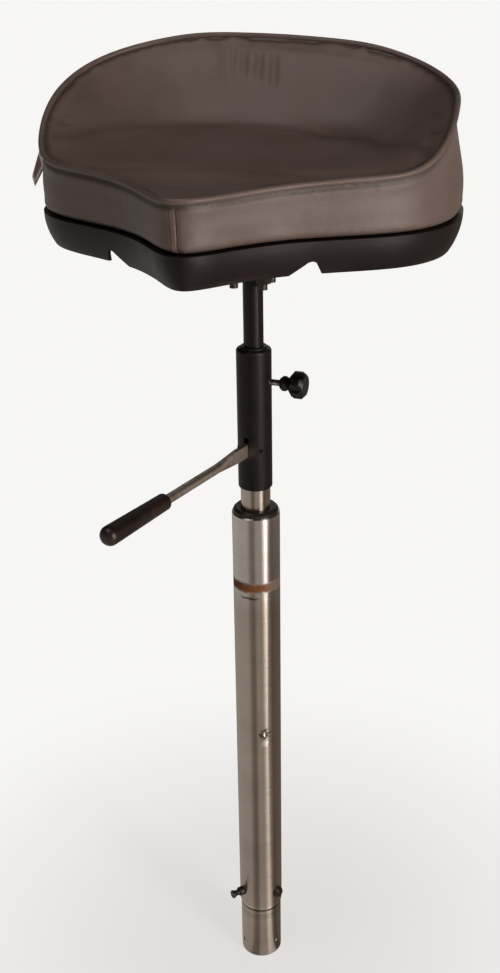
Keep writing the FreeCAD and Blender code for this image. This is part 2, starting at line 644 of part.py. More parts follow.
# Lock plunger: spring-loaded pin in a collar, pulled out by a flared knob to free the base plug
collar_start = S.tube_radius + S.fit_gap
collar_end = collar_start + S.collar_length
spring_bore = S.spring_radius + S.spring_wire * 2
pin_fit = S.pin_radius + S.fit_gap
subpart(along(turned("housing_turned", [
    (spring_bore, S.tube_bore), (S.shank_radius, S.tube_bore), (S.shank_radius, collar_start),
    (S.lock_collar, collar_start), (S.lock_collar, collar_end - S.chamfer / 2),
    (S.lock_collar - S.chamfer / 2, collar_end), (pin_fit, collar_end), (pin_fit, collar_end - S.end_wall),
    (spring_bore, collar_end - S.end_wall)]), S.lock_yaw, NOTHING, S.lock_height), "lock_housing")
pin_start = S.tube_bore - S.pin_bite
pin_collar_start = S.tube_bore + S.face_gap
pin_collar_end = pin_collar_start + S.collar_sheet
knob_start = collar_end + S.face_gap
pull_end = knob_start + S.pull_length
pin_end = pull_end - S.end_wall
subpart(along(turned("pin_turned", [
    (NOTHING, pin_start), (S.pin_radius, pin_start), (S.pin_radius, pin_collar_start),
    (spring_bore - S.fit_gap, pin_collar_start), (spring_bore - S.fit_gap, pin_collar_end),
    (S.pin_radius, pin_collar_end), (S.pin_radius, pin_end), (NOTHING, pin_end)]),
    S.lock_yaw, NOTHING, S.lock_height), "plunger_pin")
subpart(along(turned("pull_turned", [
    (pin_fit, knob_start), (S.pull_waist * 1.2, knob_start), (S.pull_waist, knob_start + S.pull_length / 3),
    (S.pull_flare, pull_end - S.pull_length / 5), (S.pull_flare, pull_end - S.chamfer / 2),
    (S.pull_flare - S.chamfer / 2, pull_end), (NOTHING, pull_end), (NOTHING, pin_end + S.fit_gap),
    (pin_fit, pin_end + S.fit_gap)]), S.lock_yaw, NOTHING, S.lock_height), "plunger_knob")
spring_start = pin_collar_end + S.fit_gap + S.spring_wire
spring_length = collar_end - S.end_wall - S.fit_gap - S.spring_wire - spring_start
coil = doc.addObject("Part::Helix", "spring_coil")
bind(coil, "Radius", S.spring_radius)
bind(coil, "Height", spring_length)
bind(coil, "Pitch", spring_length / S.spring_turns)
wire = doc.addObject("Part::Circle", "spring_section")
bind(wire, "Radius", S.spring_wire)
place(wire, x=S.spring_radius, roll=90)
spring = doc.addObject("Part::Sweep", "spring_sweep")
spring.Sections = [wire]
spring.Spine = (coil, [])
spring.Solid = True
spring.Frenet = True
subpart(along(spring, S.lock_yaw, spring_start, S.lock_height), "plunger_spring")
subpart(along(turned("screw_turned", [
    (NOTHING, pin_start), (S.stud_radius, pin_start), (S.stud_radius, collar_start),
    (S.dome_radius, collar_start), (S.dome_radius, collar_start + S.dome_height * 0.4),
    (S.dome_radius * 0.7, collar_start + S.dome_height), (NOTHING, collar_start + S.dome_height)]),
    S.screw_yaw, NOTHING, S.lock_height), "side_screw")

# Seat post: black steel bar with the clamp's groove, welded to a square flange
post_bottom = washer_top + S.face_gap
groove_low = clamp_level - S.groove_height / 2
groove_high = clamp_level + S.groove_height / 2
post_bar = turned("post_turned", [
    (NOTHING, post_bottom), (S.post_radius - S.chamfer, post_bottom), (S.post_radius, post_bottom + S.chamfer),
    (S.post_radius, groove_low), (post_groove, groove_low + S.chamfer), (post_groove, groove_high - S.chamfer),
    (S.post_radius, groove_high), (S.post_radius, flange_bottom - S.weld_size),
    (S.post_radius + S.weld_size, flange_bottom), (S.post_radius + S.weld_size, flange_top),
    (NOTHING, flange_top)])
flange = rounded_plate("post_flange", S.flange_side, S.flange_sheet, S.flange_corner, flange_bottom)
bolt_hole = S.bolt_radius + S.hole_gap
flange_holes = [cylinder("flange_hole_%d" % index, bolt_hole, S.flange_sheet * 2,
                         x=x, y=y, z=flange_bottom - S.flange_sheet / 2)
                for index, (x, y) in enumerate(four(S.bolt_offset))]
subpart(cut("post_drilled", fuse("post_welded", post_bar, flange), *flange_holes), "seat_post")

# Flange bolts: heads in the mount's dish, washers both sides, nuts and bolt ends below the flange
head_seat = dish_top + S.plain_sheet
nut_top = flange_bottom - S.plain_sheet
nut_bottom = nut_top - S.nut_height
bolts = []
nuts = []
washers = []
for index, (x, y) in enumerate(four(S.bolt_offset)):
    shank_bottom = nut_bottom - S.bolt_tip
    shank = cylinder("shank_%d" % index, S.bolt_radius, head_seat - shank_bottom, x=x, y=y, z=shank_bottom)
    head = hexagon("head_%d" % index, S.nut_corner, S.bolt_head, x=x, y=y, z=head_seat)
    bolts.append(fuse("bolt_%d" % index, shank, head))
    nut = hexagon("nut_hex_%d" % index, S.nut_corner, S.nut_height, x=x, y=y, z=nut_bottom)
    thread = cylinder("nut_hole_%d" % index, S.bolt_radius + S.fit_gap, S.nut_height, x=x, y=y, z=nut_bottom)
    nuts.append(cut("nut_%d" % index, nut, thread))
    for side, level in (("above", dish_top), ("below", nut_top)):
        washers.append(ring("washer_%s_%d" % (side, index), bolt_hole, S.washer_radius, S.plain_sheet,
                            x=x, y=y, z=level))
subpart(group("bolt_set", bolts), "flange_bolts")
subpart(group("nut_set", nuts), "flange_nuts")
subpart(group("washer_set", washers), "flange_washers")

# Seat mount: square plate pressed to a dish, bolted to the post's flange and to the pan's bosses
brim = S.dish_mouth + S.mount_sheet * 2
dish = turned("dish_pressed", [
    (S.dish_hole, flange_top), (S.dish_floor, flange_top), (S.dish_mouth, mount_bottom), (brim, mount_bottom),
    (brim, mount_top), (S.dish_mouth - S.mount_sheet / 2, mount_top),
    (S.dish_floor - S.mount_sheet / 2, dish_top), (S.dish_hole, dish_top)])
square = rounded_plate("mount_plate", S.mount_side, S.mount_sheet, S.mount_corner, mount_bottom)
opening = cylinder("mount_opening", S.dish_mouth, S.mount_sheet, z=mount_bottom)
mount_holes = [cylinder("dish_hole_%d" % index, bolt_hole, S.mount_sheet * 2, x=x, y=y,
                        z=flange_top - S.mount_sheet / 2)
               for index, (x, y) in enumerate(four(S.bolt_offset))]
mount_holes += [cylinder("plate_hole_%d" % index, bolt_hole, S.mount_sheet * 2, x=x, y=y,
                         z=mount_bottom - S.mount_sheet / 2)
                for index, (x, y) in enumerate(four(S.pan_bolt_offset))]
subpart(cut("mount_drilled", fuse("mount_pressed", cut("mount_frame", square, opening), dish), *mount_holes),
        "seat_mount")

# Pan fasteners: bolts and washers under the mount, tee nuts let into the top of the pan
deck_seat = pan_top - S.tee_sheet - S.face_gap
pan_bolts = []
pan_washers = []
tee_nuts = []
for index, (x, y) in enumerate(four(S.pan_bolt_offset)):
    washer_low = mount_bottom - S.plain_sheet
    pan_washers.append(ring("pan_washer_%d" % index, bolt_hole, S.washer_radius, S.plain_sheet,
                            x=x, y=y, z=washer_low))
    head = hexagon("pan_head_%d" % index, S.nut_corner, S.bolt_head, x=x, y=y, z=washer_low - S.bolt_head)
    shank = cylinder("pan_shank_%d" % index, S.bolt_radius, deck_seat - washer_low, x=x, y=y, z=washer_low)
    pan_bolts.append(fuse("pan_bolt_%d" % index, head, shank))
    flange_disc = cylinder("tee_disc_%d" % index, S.tee_radius, S.tee_sheet, x=x, y=y, z=deck_seat)
    barrel = cylinder("tee_tube_%d" % index, S.tee_barrel, S.tee_length, x=x, y=y, z=deck_seat - S.tee_length)
    thread = cylinder("tee_hole_%d" % index, S.bolt_radius + S.fit_gap, S.tee_length * 2,
                      x=x, y=y, z=deck_seat - S.tee_length)
    tee_nuts.append(cut("tee_nut_%d" % index, fuse("tee_body_%d" % index, flange_disc, barrel), thread))
subpart(group("pan_bolt_set", pan_bolts), "pan_bolts")
subpart(group("pan_washer_set", pan_washers), "pan_washers")
subpart(group("tee_nut_set", tee_nuts), "tee_nuts")


def half_outline():
    """The seat's plan from the nose round to the back, on the +X side: named corners in front, then a
    rounded-square quarter for the back."""
    front = [(0.0, -S.nose_reach.number), (S.cheek_out.number, -S.cheek_ahead.number),
             (S.waist_out.number, -S.waist_ahead.number), (S.thigh_out.number, -S.thigh_ahead.number),
             (S.wing_out.number, -S.wing_ahead.number), (S.hip_out.number, -S.hip_ahead.number)]
    power = 2 / S.back_square.number
    for degrees in (0, 20, 45, 70, 90):
        angle = math.radians(degrees)
        front.append((S.half_width.number * math.cos(angle) ** power * (degrees < 90),
                      S.back_reach.number * math.sin(angle) ** power))
    return front


def level_curve(points, direction):
    """A smooth curve through points that leaves and meets the seat's middle plane squarely."""
    curve = Part.BSplineCurve()
    curve.interpolate(Points=points, InitialTangent=Vector(direction, 0, 0),
                      FinalTangent=Vector(-direction, 0, 0), Scale=False)
    return curve


PLAN = level_curve([Vector(x, y, 0) for x, y in half_outline()], 1)
PLAN_STEPS = 26


def plan_point(share, inset=0.0, level=0.0):
    """A point of the plan by its share of the way from nose to back, drawn in by an inset."""
    spot = PLAN.FirstParameter + (PLAN.LastParameter - PLAN.FirstParameter) * share
    tangent = PLAN.tangent(spot)[0]
    return PLAN.value(spot) + Vector(-tangent.y, tangent.x, 0) * inset + Vector(0, 0, level)


def plan_wire(inset, level):
    """The plan drawn in by an inset at a level: the +X half and its mirror image."""
    right = [plan_point(index / PLAN_STEPS, inset, level) for index in range(PLAN_STEPS + 1)]
    left = [Vector(-point.x, point.y, point.z) for point in reversed(right)]
    return Part.Wire([level_curve(right, 1).toShape(), level_curve(left, -1).toShape()])


def plan_loft(steps):
    """A solid through the plan's wires, given as (inset, level) pairs from below."""
    return Part.makeLoft([plan_wire(inset, level) for inset, level in steps], True, False)


def shaped(label, shape, level, yaw=0):
    """A sub-part whose form is set directly, at its level on the pole and turned from the nose."""
    item = doc.addObject("Part::Feature", label + "_form")
    item.Shape = shape
    place(item, z=level, yaw=yaw)
    return subpart(item, label)


def screw_places():
    """Where the cushion screws stand, from the plan's own sizes."""
    side = S.half_width.number * 0.66
    ahead = S.waist_ahead.number
    behind = S.back_reach.number * 0.75
    return [(0.0, -ahead), (-side, 0.0), (side, 0.0), (-side * 0.3, behind), (side * 0.3, behind)]


def pan_form():
    """Moulded pan: skirt and deck in one wall, open below, with ribs, bosses and two notches."""
    depth = S.pan_depth.number
    wall = S.pan_wall.number
    reach = S.nose_reach.number * 2
    rib = S.rib_sheet.number
    rib_foot = -wall - S.rib_depth.number
    rib_height = S.rib_depth.number + wall / 2
    offset = S.pan_bolt_offset.number
    bolt_places = [(x, y) for x in (-offset, offset) for y in (-offset, offset)]
    pan = pan_layer(0.0).cut(pan_layer(wall))
    inside = pan_layer(wall / 2)
    for side in (-offset, offset):
        across_rib = Part.makeBox(reach, rib, rib_height, Vector(-reach / 2, side - rib / 2, rib_foot))
        down_rib = Part.makeBox(rib, reach, rib_height, Vector(side - rib / 2, -reach / 2, rib_foot))
        pan = pan.fuse(across_rib.common(inside)).fuse(down_rib.common(inside))
    boss_face = S.pan_lip.number - depth
    for x, y in bolt_places:
        pan = pan.fuse(Part.makeCylinder(S.boss_radius.number, -boss_face - wall / 2, Vector(x, y, boss_face)))
    tee_depth = S.tee_sheet.number + S.face_gap.number
    barrel_hole = (S.tee_barrel + S.fit_gap).number
    recess = (S.tee_radius + S.fit_gap).number
    screw_hole = (S.screw_radius + S.hole_gap).number
    for x, y in bolt_places:
        pan = pan.cut(Part.makeCylinder(barrel_hole, depth * 2, Vector(x, y, -depth)))
        pan = pan.cut(Part.makeCylinder(recess, depth, Vector(x, y, -tee_depth)))
    for x, y in screw_places():
        pan = pan.cut(Part.makeCylinder(screw_hole, depth * 2, Vector(x, y, -depth)))
    for side in (-1, 1):
        pan = pan.cut(notch_form(side))
    return pan


def pan_layer(inset):
    """The pan's outer form, drawn in all round and down from the top by an inset."""
    depth = S.pan_depth.number
    return plan_loft([(S.pan_inset.number + inset, -depth), (S.pan_mid_inset.number + inset, -depth / 2),
                      (inset, -inset)])


def notch_form(side):
    """The space of one notch: a gentle slope on the nose side, a steep one on the wing side."""
    low = -S.pan_depth.number - 1
    top = -S.pan_depth.number + S.notch_height.number
    near = -S.notch_near.number
    far = S.notch_far.number
    start = Vector(near, 0, low)
    before = Vector(near * 0.25, 0, top - 2)
    peak = Vector(0, 0, top)
    after = Vector(far * 0.45, 0, top - 2.5)
    end = Vector(far, 0, low)
    edges = [Part.LineSegment(start, before).toShape(), Part.Arc(before, peak, after).toShape(),
             Part.LineSegment(after, end).toShape(), Part.LineSegment(end, start).toShape()]
    profile = Part.Face(Part.Wire(edges))
    half = S.notch_near.number * 1.5
    solid = profile.extrude(Vector(0, half * 2, 0))
    solid.translate(Vector(0, -half, 0))
    if side < 0:
        solid = solid.mirror(Vector(0, 0, 0), Vector(1, 0, 0))
    solid.rotate(Vector(0, 0, 0), Vector(0, 0, 1), S.notch_yaw.number * side)
    solid.translate(Vector(S.notch_out.number * side, -S.notch_ahead.number, 0))
    return solid


def smooth(value):
    """Eases from 0 to 1."""
    value = min(max(value, 0.0), 1.0)
    return value * value * (3 - 2 * value)


def seat_level(y):
    """Height of the seat above the pan, rising gently from the nose to the valley."""
    run = (y + S.nose_reach.number) / (S.valley_reach.number + S.nose_reach.number)
    return S.nose_height.number + (S.valley_height.number - S.nose_height.number) * min(max(run, 0.0), 1.0)


def edge_level(degrees):
    """Height of the piped edge above the pan, by the angle from the nose."""
    front = (S.side_height.number - S.nose_height.number) * smooth(degrees / S.wing_from.number)
    corner = smooth((degrees - S.wing_from.number) / (S.wing_to.number - S.wing_from.number))
    back = smooth((degrees - S.back_from.number) / (S.back_to.number - S.back_from.number))
    return S.nose_height.number + front + S.wing_rise.number * corner + S.back_rise.number * back


def angle_of(x, y):
    """Angle of a place about the pole, in degrees from the nose."""
    return math.degrees(math.atan2(abs(x), -y))


RIM_STEPS = 720
RIM = [plan_point(index / RIM_STEPS) for index in range(RIM_STEPS + 1)]


def plan_radius(degrees):
    """Distance from the pole to the plan's curve, by the angle from the nose."""
    nearest = min(RIM, key=lambda point: abs(angle_of(point.x, point.y) - degrees))
    return math.hypot(nearest.x, nearest.y)


def top_level(x, y):
    """Height of the cushion's upper side: the domed seat and the hollow slope of the backrest."""
    degrees = angle_of(x, y)
    rim = plan_radius(degrees)
    distance = math.hypot(x, y)
    edge = edge_level(degrees)
    rise = edge - seat_level(-rim * math.cos(math.radians(degrees)))
    down = min((rim - side_inset(edge) - distance) / S.back_thick.number, 1.0)
    top_slope = 0.8
    if down < 0:
        slope = 1 - top_slope * down
    else:
        slope = (1 - down) ** 2 * (1 + (2 - top_slope) * down)
    dome = S.crown.number * (1 - (distance / rim) ** 2)
    return seat_level(y) + dome + rise * slope


def side_inset(level):
    """How far the side panel stands inside the pan's outline at a level: it bulges, then leans in."""
    tall = S.side_height.number
    swell = S.bulge.number * math.sin(math.pi * min(level / tall, 1.0))
    lean = max(level - tall, 0.0) / (S.wing_rise.number + S.back_rise.number)
    return S.foot_inset.number * (1 - lean) + S.lean.number * lean - swell


def cushion_form():
    """Cushion: the bulged side panel, cut by a smooth upper side drawn through a grid of heights."""
    high = (S.side_height + S.wing_rise + S.back_rise + S.crown * 6).number
    layers = 8
    levels = [high * index / layers for index in range(layers + 1)]
    walls = plan_loft([(side_inset(level), level) for level in levels])
    columns = 12
    grid = (S.half_width.number + S.bulge.number * 4) / columns
    rows = []
    y = -S.nose_reach.number - grid
    while y < S.back_reach.number + grid * 2:
        rows.append([Vector(index * grid, y, top_level(index * grid, y))
                     for index in range(-columns, columns + 1)])
        y += grid
    upper = Part.BSplineSurface()
    upper.interpolate(rows)
    cushion = walls.cut(upper.toShape().extrude(Vector(0, 0, high * 2)))
    for x, y in screw_places():
        cushion = cushion.cut(Part.makeCylinder(S.screw_radius.number + S.fit_gap.number,
                                                S.screw_bite.number + S.face_gap.number, Vector(x, y, 0)))
    return cushion


def tag_form():
    """Sewn tag: a folded strip standing out of the side panel where that swells most."""
    swell = S.bulge.number - S.foot_inset.number
    radius = plan_radius(abs(S.tag_yaw.number)) + swell + S.face_gap.number
    fold = S.tag_sheet.number / 2
    tag = Part.makeBox(S.tag_sheet.number, S.tag_width.number - fold, S.tag_height.number,
                       Vector(-fold, -radius - S.tag_width.number + fold, S.tag_level.number))
    bend = Part.makeCylinder(fold, S.tag_height.number,
                             Vector(0, -radius - S.tag_width.number + fold, S.tag_level.number))
    return tag.fuse(bend).removeSplitter()


shaped("seat_pan", pan_form(), pan_top)
shaped("cushion", cushion_form(), pan_top)
shaped("seam_tag", tag_form(), pan_top, S.tag_yaw)

# Cushion screws: pan-head screws from below through the deck
cushion_screws = []
head_low = deck_bottom - S.screw_radius
shank_length = S.pan_wall + S.screw_bite
for index, (x, y) in enumerate(screw_places()):
    head = cylinder("screw_head_%d" % index, S.screw_head, S.screw_radius, x=x, y=y, z=head_low)
    shank = cylinder("screw_shank_%d" % index, S.screw_radius, shank_length, x=x, y=y, z=deck_bottom)
    cushion_screws.append(fuse("cushion_screw_%d" % index, head, shank))
subpart(group("cushion_screw_set", cushion_screws), "cushion_screws")

doc.recompute()
for item in doc.Objects:
    if "Invalid" in item.State or "Error" in item.State:
        raise RuntimeError("%s did not build: %s" % (item.Label, item.State))
for item in SUBPARTS:
    if item.Shape.isNull() or not item.Shape.isValid() or item.Shape.Volume <= 0:
        raise RuntimeError("%s is not a good solid" % item.Label)
os.makedirs("parts", exist_ok=True)
for item in SUBPARTS:
    item.Shape.exportStep("parts/%s.step" % item.Label)
print("%d sub-parts written" % len(SUBPARTS))
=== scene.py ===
import math

import bpy
import numpy as np
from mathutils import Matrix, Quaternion, Vector
from mathutils.bvhtree import BVHTree
from mathutils.kdtree import KDTree


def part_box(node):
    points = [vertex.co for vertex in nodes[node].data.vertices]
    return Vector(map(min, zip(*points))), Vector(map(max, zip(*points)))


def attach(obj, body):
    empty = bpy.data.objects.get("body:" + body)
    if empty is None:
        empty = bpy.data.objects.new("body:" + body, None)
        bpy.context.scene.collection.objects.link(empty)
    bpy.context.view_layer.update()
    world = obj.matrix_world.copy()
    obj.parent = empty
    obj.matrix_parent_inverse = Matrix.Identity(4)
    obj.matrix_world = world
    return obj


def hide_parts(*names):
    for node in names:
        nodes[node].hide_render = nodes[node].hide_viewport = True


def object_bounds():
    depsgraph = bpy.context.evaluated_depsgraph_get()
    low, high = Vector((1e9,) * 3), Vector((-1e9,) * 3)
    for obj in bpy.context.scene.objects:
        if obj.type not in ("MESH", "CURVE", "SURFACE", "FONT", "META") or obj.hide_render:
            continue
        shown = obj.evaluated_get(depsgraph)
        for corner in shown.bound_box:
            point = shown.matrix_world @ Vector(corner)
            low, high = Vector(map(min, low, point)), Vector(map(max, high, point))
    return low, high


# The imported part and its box, before anything is dressed. Sizes below are metres in the same frame:
# +Z up along the pole, the origin at the spigot's shoulder, the seat's nose towards -Y.
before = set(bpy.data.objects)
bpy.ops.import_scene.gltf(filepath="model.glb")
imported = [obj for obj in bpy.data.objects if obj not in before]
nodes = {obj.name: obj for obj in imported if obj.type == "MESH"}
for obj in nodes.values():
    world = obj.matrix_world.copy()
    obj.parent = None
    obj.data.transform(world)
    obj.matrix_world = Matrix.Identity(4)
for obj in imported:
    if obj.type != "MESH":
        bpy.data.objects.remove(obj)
cad_low, cad_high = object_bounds()
bpy.ops.object.select_all(action="DESELECT")


# Lower tube: the stainless deck tube, 48 mm across, polished on a belt, whose fine scratches run round
# it. Its foot is turned down to a spigot, a punched ring holds the guide inside, and rust from a clamp
# that once sat on it runs round as a brown band.
PER_MM = 1000.0
UNBOUNDED = -1.0
TUBE_AXIS = "Z"
TUBE_RADIUS = 0.02415
SCRATCH_MM = 1.1
SCRATCH_LENGTH = 45
RUST_LOW, RUST_HIGH = 0.4185, 0.4282
RUST_EDGE = 0.0018
RUST_WANDER = 0.004
RUST_SPOT = (-0.002, -0.024, 0.422)
RUST_NEAR, RUST_FAR = 0.016, 0.036
BROWN_BELOW = 0.03
STREAK_LEVELS = (0.4104, 0.4128)
STREAK_SPOT = (-0.001, -0.0241, 0.4118)
STREAK_REACH = 0.009
PUNCH_YAW = math.radians(33)
PUNCH_SPOT = (TUBE_RADIUS * math.sin(PUNCH_YAW), -TUBE_RADIUS * math.cos(PUNCH_YAW), 0.2450)
PUNCH_RING = (0.0030, 0.0068)
BEAD_MM = 4.6
# Painted glint: a near white spot painted just below the punch mark.
PAINTED_GLINT_SPOT = (PUNCH_SPOT[0], PUNCH_SPOT[1], 0.2325)
PAINTED_GLINT_REACH = 0.0040
# Painted highlight: a near white line along the ledge's edge at the spigot's shoulder.
LEDGE_HIGHLIGHT_LEVELS = (-0.0002, 0.0011)
# The first, widest line is painted shadow under the ledge; the other three are the turning tool's.
TURNED_LINES_AND_LEDGE_SHADOW = ((-0.0040, 0.0012), (-0.0108, 0.0003), (-0.0130, 0.0003), (-0.0160, 0.0003))


def linear(code):
    """A #rrggbb paint code as the linear colour that a shader takes."""
    shares = [int(code[start:start + 2], 16) / 255 for start in (1, 3, 5)]
    return [share / 12.92 if share <= 0.04045 else ((share + 0.055) / 1.055) ** 2.4
            for share in shares] + [1.0]


def add(tree, kind, inputs=None, stops=None, **settings):
    """Adds a node with its settings, its ramp stops, and the values or sockets that go into it."""
    made = tree.nodes.new("ShaderNode" + kind)
    for name, value in settings.items():
        setattr(made, name, value)
    for name, value in (inputs or {}).items():
        if isinstance(value, bpy.types.NodeSocket):
            tree.links.new(value, made.inputs[name])
        else:
            made.inputs[name].default_value = linear(value) if isinstance(value, str) else value
    for index, (spot, code) in enumerate(stops or []):
        stop = made.color_ramp.elements[index] if index < 2 else made.color_ramp.elements.new(spot)
        stop.position = spot
        stop.color = linear(code)
    return made


def new_finish(name, code, metallic, roughness):
    """A material with its plain values set, and its tree, shader and place on the piece."""
    finish = bpy.data.materials.new(name)
    finish.use_nodes = True
    finish.diffuse_color = linear(code)
    tree = finish.node_tree
    shader = tree.nodes["Principled BSDF"]
    shader.inputs["Base Color"].default_value = linear(code)
    shader.inputs["Metallic"].default_value = metallic
    shader.inputs["Roughness"].default_value = roughness
    return finish, tree, shader, add(tree, "TexCoord").outputs["Object"]


def combine(tree, operation, first, *others):
    """Masks or values taken together by one operation, each in its turn."""
    for other in others:
        first = add(tree, "Math", {0: first, 1: other}, operation=operation).outputs["Value"]
    return first


def between(tree, value, low, high, soft):
    """1 where a value lies from low to high, fading over soft at both ends."""
    rise = add(tree, "MapRange", {"Value": value, "From Min": low - soft, "From Max": low + soft},
               interpolation_type="SMOOTHSTEP")
    fall = add(tree, "MapRange", {"Value": value, "From Min": high - soft, "From Max": high + soft,
                                  "To Min": 1.0, "To Max": 0.0}, interpolation_type="SMOOTHSTEP")
    return combine(tree, "MULTIPLY", rise.outputs["Result"], fall.outputs["Result"])


def around(tree, place, spot, low, high, soft):
    """1 where the distance from a spot lies from low to high, fading over soft at both ends."""
    reach = add(tree, "VectorMath", {0: place, 1: spot}, operation="DISTANCE").outputs["Value"]
    return between(tree, reach, low, high, soft)


def dress(finish, *names):
    """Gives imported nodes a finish."""
    for name in names:
        mesh = nodes[name].data
        mesh.materials.clear()
        mesh.materials.append(finish)


def belt_polished_steel():
    """Type 304 tube: warm grey, and browner below the rust. Its scratches draw each highlight out
    along the tube."""
    finish, tree, shader, place = new_finish("belt_polished_304_steel", "#d8cfc3", 1.0, 0.36)
    height = add(tree, "SeparateXYZ", {"Vector": place}).outputs["Z"]
    cloud = add(tree, "TexNoise", {"Vector": place, "Scale": PER_MM / 60, "Detail": 3.0})
    tone = add(tree, "ValToRGB", {"Fac": cloud.outputs["Fac"]},
               stops=[(0.3, "#cbc5bd"), (0.7, "#ddd8d1")])
    # The colour turns darker and browner below the rust band, fading out across the band.
    darker_below = add(tree, "MapRange", {"Value": height, "From Min": RUST_LOW - BROWN_BELOW,
                                    "From Max": RUST_HIGH, "To Min": 0.85, "To Max": 0.0})
    browner_below = add(tree, "MixRGB", {"Fac": darker_below.outputs["Result"], "Color1": tone.outputs["Color"],
                                "Color2": "#e2d9d0"}, blend_type="MULTIPLY")
    scratch_place = add(tree, "Mapping", {"Vector": place, "Scale": (1, 1, SCRATCH_LENGTH)})
    scratch = add(tree, "TexNoise", {"Vector": scratch_place.outputs["Vector"],
                                     "Scale": PER_MM / SCRATCH_MM / SCRATCH_LENGTH, "Detail": 3.0})
    worn = add(tree, "MixRGB", {"Fac": 0.2, "Color1": browner_below.outputs["Color"],
                                "Color2": scratch.outputs["Color"]}, blend_type="OVERLAY")

    # The rust: a band that wanders, patchy in its thickness, and a streak that has run off below it
    grain = add(tree, "TexNoise", {"Vector": place, "Scale": PER_MM / 5, "Detail": 5.0}).outputs["Fac"]
    wander = add(tree, "Math", {0: grain, 1: RUST_WANDER, 2: -RUST_WANDER / 2},
                 operation="MULTIPLY_ADD")
    rust_height = combine(tree, "ADD", height, wander.outputs["Value"])
    band = between(tree, rust_height, RUST_LOW, RUST_HIGH, RUST_EDGE)
    patchy = add(tree, "MapRange", {"Value": grain, "From Min": 0.3, "From Max": 0.52, "To Min": 0.72})
    rust_reach = add(tree, "VectorMath", {0: place, 1: RUST_SPOT}, operation="DISTANCE")
    thick = add(tree, "MapRange", {"Value": rust_reach.outputs["Value"], "From Min": RUST_NEAR,
                                   "From Max": RUST_FAR, "To Min": 1.0, "To Max": 0.6})
    rust_mask = combine(tree, "MULTIPLY", band, patchy.outputs["Result"], thick.outputs["Result"])
    rust = add(tree, "ValToRGB", {"Fac": grain},
               stops=[(0.34, "#4f2c13"), (0.5, "#7a461c"), (0.66, "#925c2b")])
    rusted = add(tree, "MixRGB", {"Fac": rust_mask, "Color1": worn.outputs["Color"],
                                  "Color2": rust.outputs["Color"]})
    streak = combine(tree, "MULTIPLY", between(tree, rust_height, *STREAK_LEVELS, 0.0008),
                     around(tree, place, STREAK_SPOT, UNBOUNDED, STREAK_REACH, 0.004))

    # Dark marks of the punch and turning tool, painted shadow under the ledge, painted glint and
    # highlight
    beads = add(tree, "TexVoronoi", {"Vector": place, "Scale": PER_MM / BEAD_MM}).outputs["Distance"]
    punched = combine(tree, "MULTIPLY", around(tree, place, PUNCH_SPOT, *PUNCH_RING, 0.0007),
                      between(tree, beads, UNBOUNDED, 0.5, 0.08))
    # The first of these lines is painted shadow under the ledge, not a tool mark.
    turned = [between(tree, height, level - half, level + half, 0.0003)
              for level, half in TURNED_LINES_AND_LEDGE_SHADOW]
    marks_and_ledge_shadow = combine(tree, "MAXIMUM", punched, *turned, streak)
    marked_and_shadowed = add(tree, "MixRGB", {"Fac": combine(tree, "MULTIPLY", marks_and_ledge_shadow, 0.8),
                                   "Color1": rusted.outputs["Color"], "Color2": "#3a2c20"})
    # Painted glint below the punch mark and painted highlight along the ledge, mixed in near white.
    painted_glint = around(tree, place, PAINTED_GLINT_SPOT, UNBOUNDED, PAINTED_GLINT_REACH, 0.0014)
    painted_ledge_highlight = between(tree, height, *LEDGE_HIGHLIGHT_LEVELS, 0.0003)
    painted_highlight = combine(tree, "MULTIPLY", combine(tree, "MAXIMUM", painted_glint, painted_ledge_highlight), 0.7)
    with_painted_highlight = add(tree, "MixRGB", {"Fac": painted_highlight, "Color1": marked_and_shadowed.outputs["Color"],
                                 "Color2": "#fff6ea"})
    tree.links.new(with_painted_highlight.outputs["Color"], shader.inputs["Base Color"])
    metal = add(tree, "MapRange", {"Value": rust_mask, "To Min": 1.0, "To Max": 0.1})
    tree.links.new(metal.outputs["Result"], shader.inputs["Metallic"])
    rough = add(tree, "Math", {0: scratch.outputs["Fac"], 1: 0.12, 2: 0.27}, operation="MULTIPLY_ADD")
    rougher = add(tree, "Math", {0: rust_mask, 1: 0.5, 2: rough.outputs["Value"]},
                  operation="MULTIPLY_ADD")
    tree.links.new(rougher.outputs["Value"], shader.inputs["Roughness"])
    relief = add(tree, "Bump", {"Height": scratch.outputs["Fac"], "Strength": 0.08,
                                "Distance": 0.0002})
    tree.links.new(relief.outputs["Normal"], shader.inputs["Normal"])
    shader.inputs["Anisotropic"].default_value = 0.85
    shader.inputs["Anisotropic Rotation"].default_value = 0.25
    tangent = add(tree, "Tangent", direction_type="RADIAL", axis=TUBE_AXIS)
    tree.links.new(tangent.outputs["Tangent"], shader.inputs["Tangent"])
    return finish


dress(belt_polished_steel(), "lower_tube")


# Bushings and guides: acetal rings turned from rod. The black one lines the tube's mouth with a
# chamfered rim, and the natural ones run inside, where grease has greyed them.
def turned_acetal(name, code, worn_code):
    """Acetal: a close, waxy plastic with the faint rings of the turning tool."""
    finish, tree, shader, place = new_finish(name, code, 0.0, 0.42)
    rings = add(tree, "TexWave", {"Vector": place, "Scale": PER_MM / 9, "Distortion": 0.4,
                                  "Detail": 1.0}, bands_direction="Z")
    cloud = add(tree, "TexNoise", {"Vector": place, "Scale": PER_MM / 7, "Detail": 4.0}).outputs["Fac"]
    tone = add(tree, "MixRGB", {"Fac": cloud, "Color1": code, "Color2": worn_code})
    tree.links.new(tone.outputs["Color"], shader.inputs["Base Color"])
    rough = add(tree, "Math", {0: cloud, 1: 0.2, 2: 0.32}, operation="MULTIPLY_ADD")
    tree.links.new(rough.outputs["Value"], shader.inputs["Roughness"])
    relief = add(tree, "Bump", {"Height": rings.outputs["Fac"], "Strength": 0.1, "Distance": 0.0002})
    tree.links.new(relief.outputs["Normal"], shader.inputs["Normal"])
    return finish


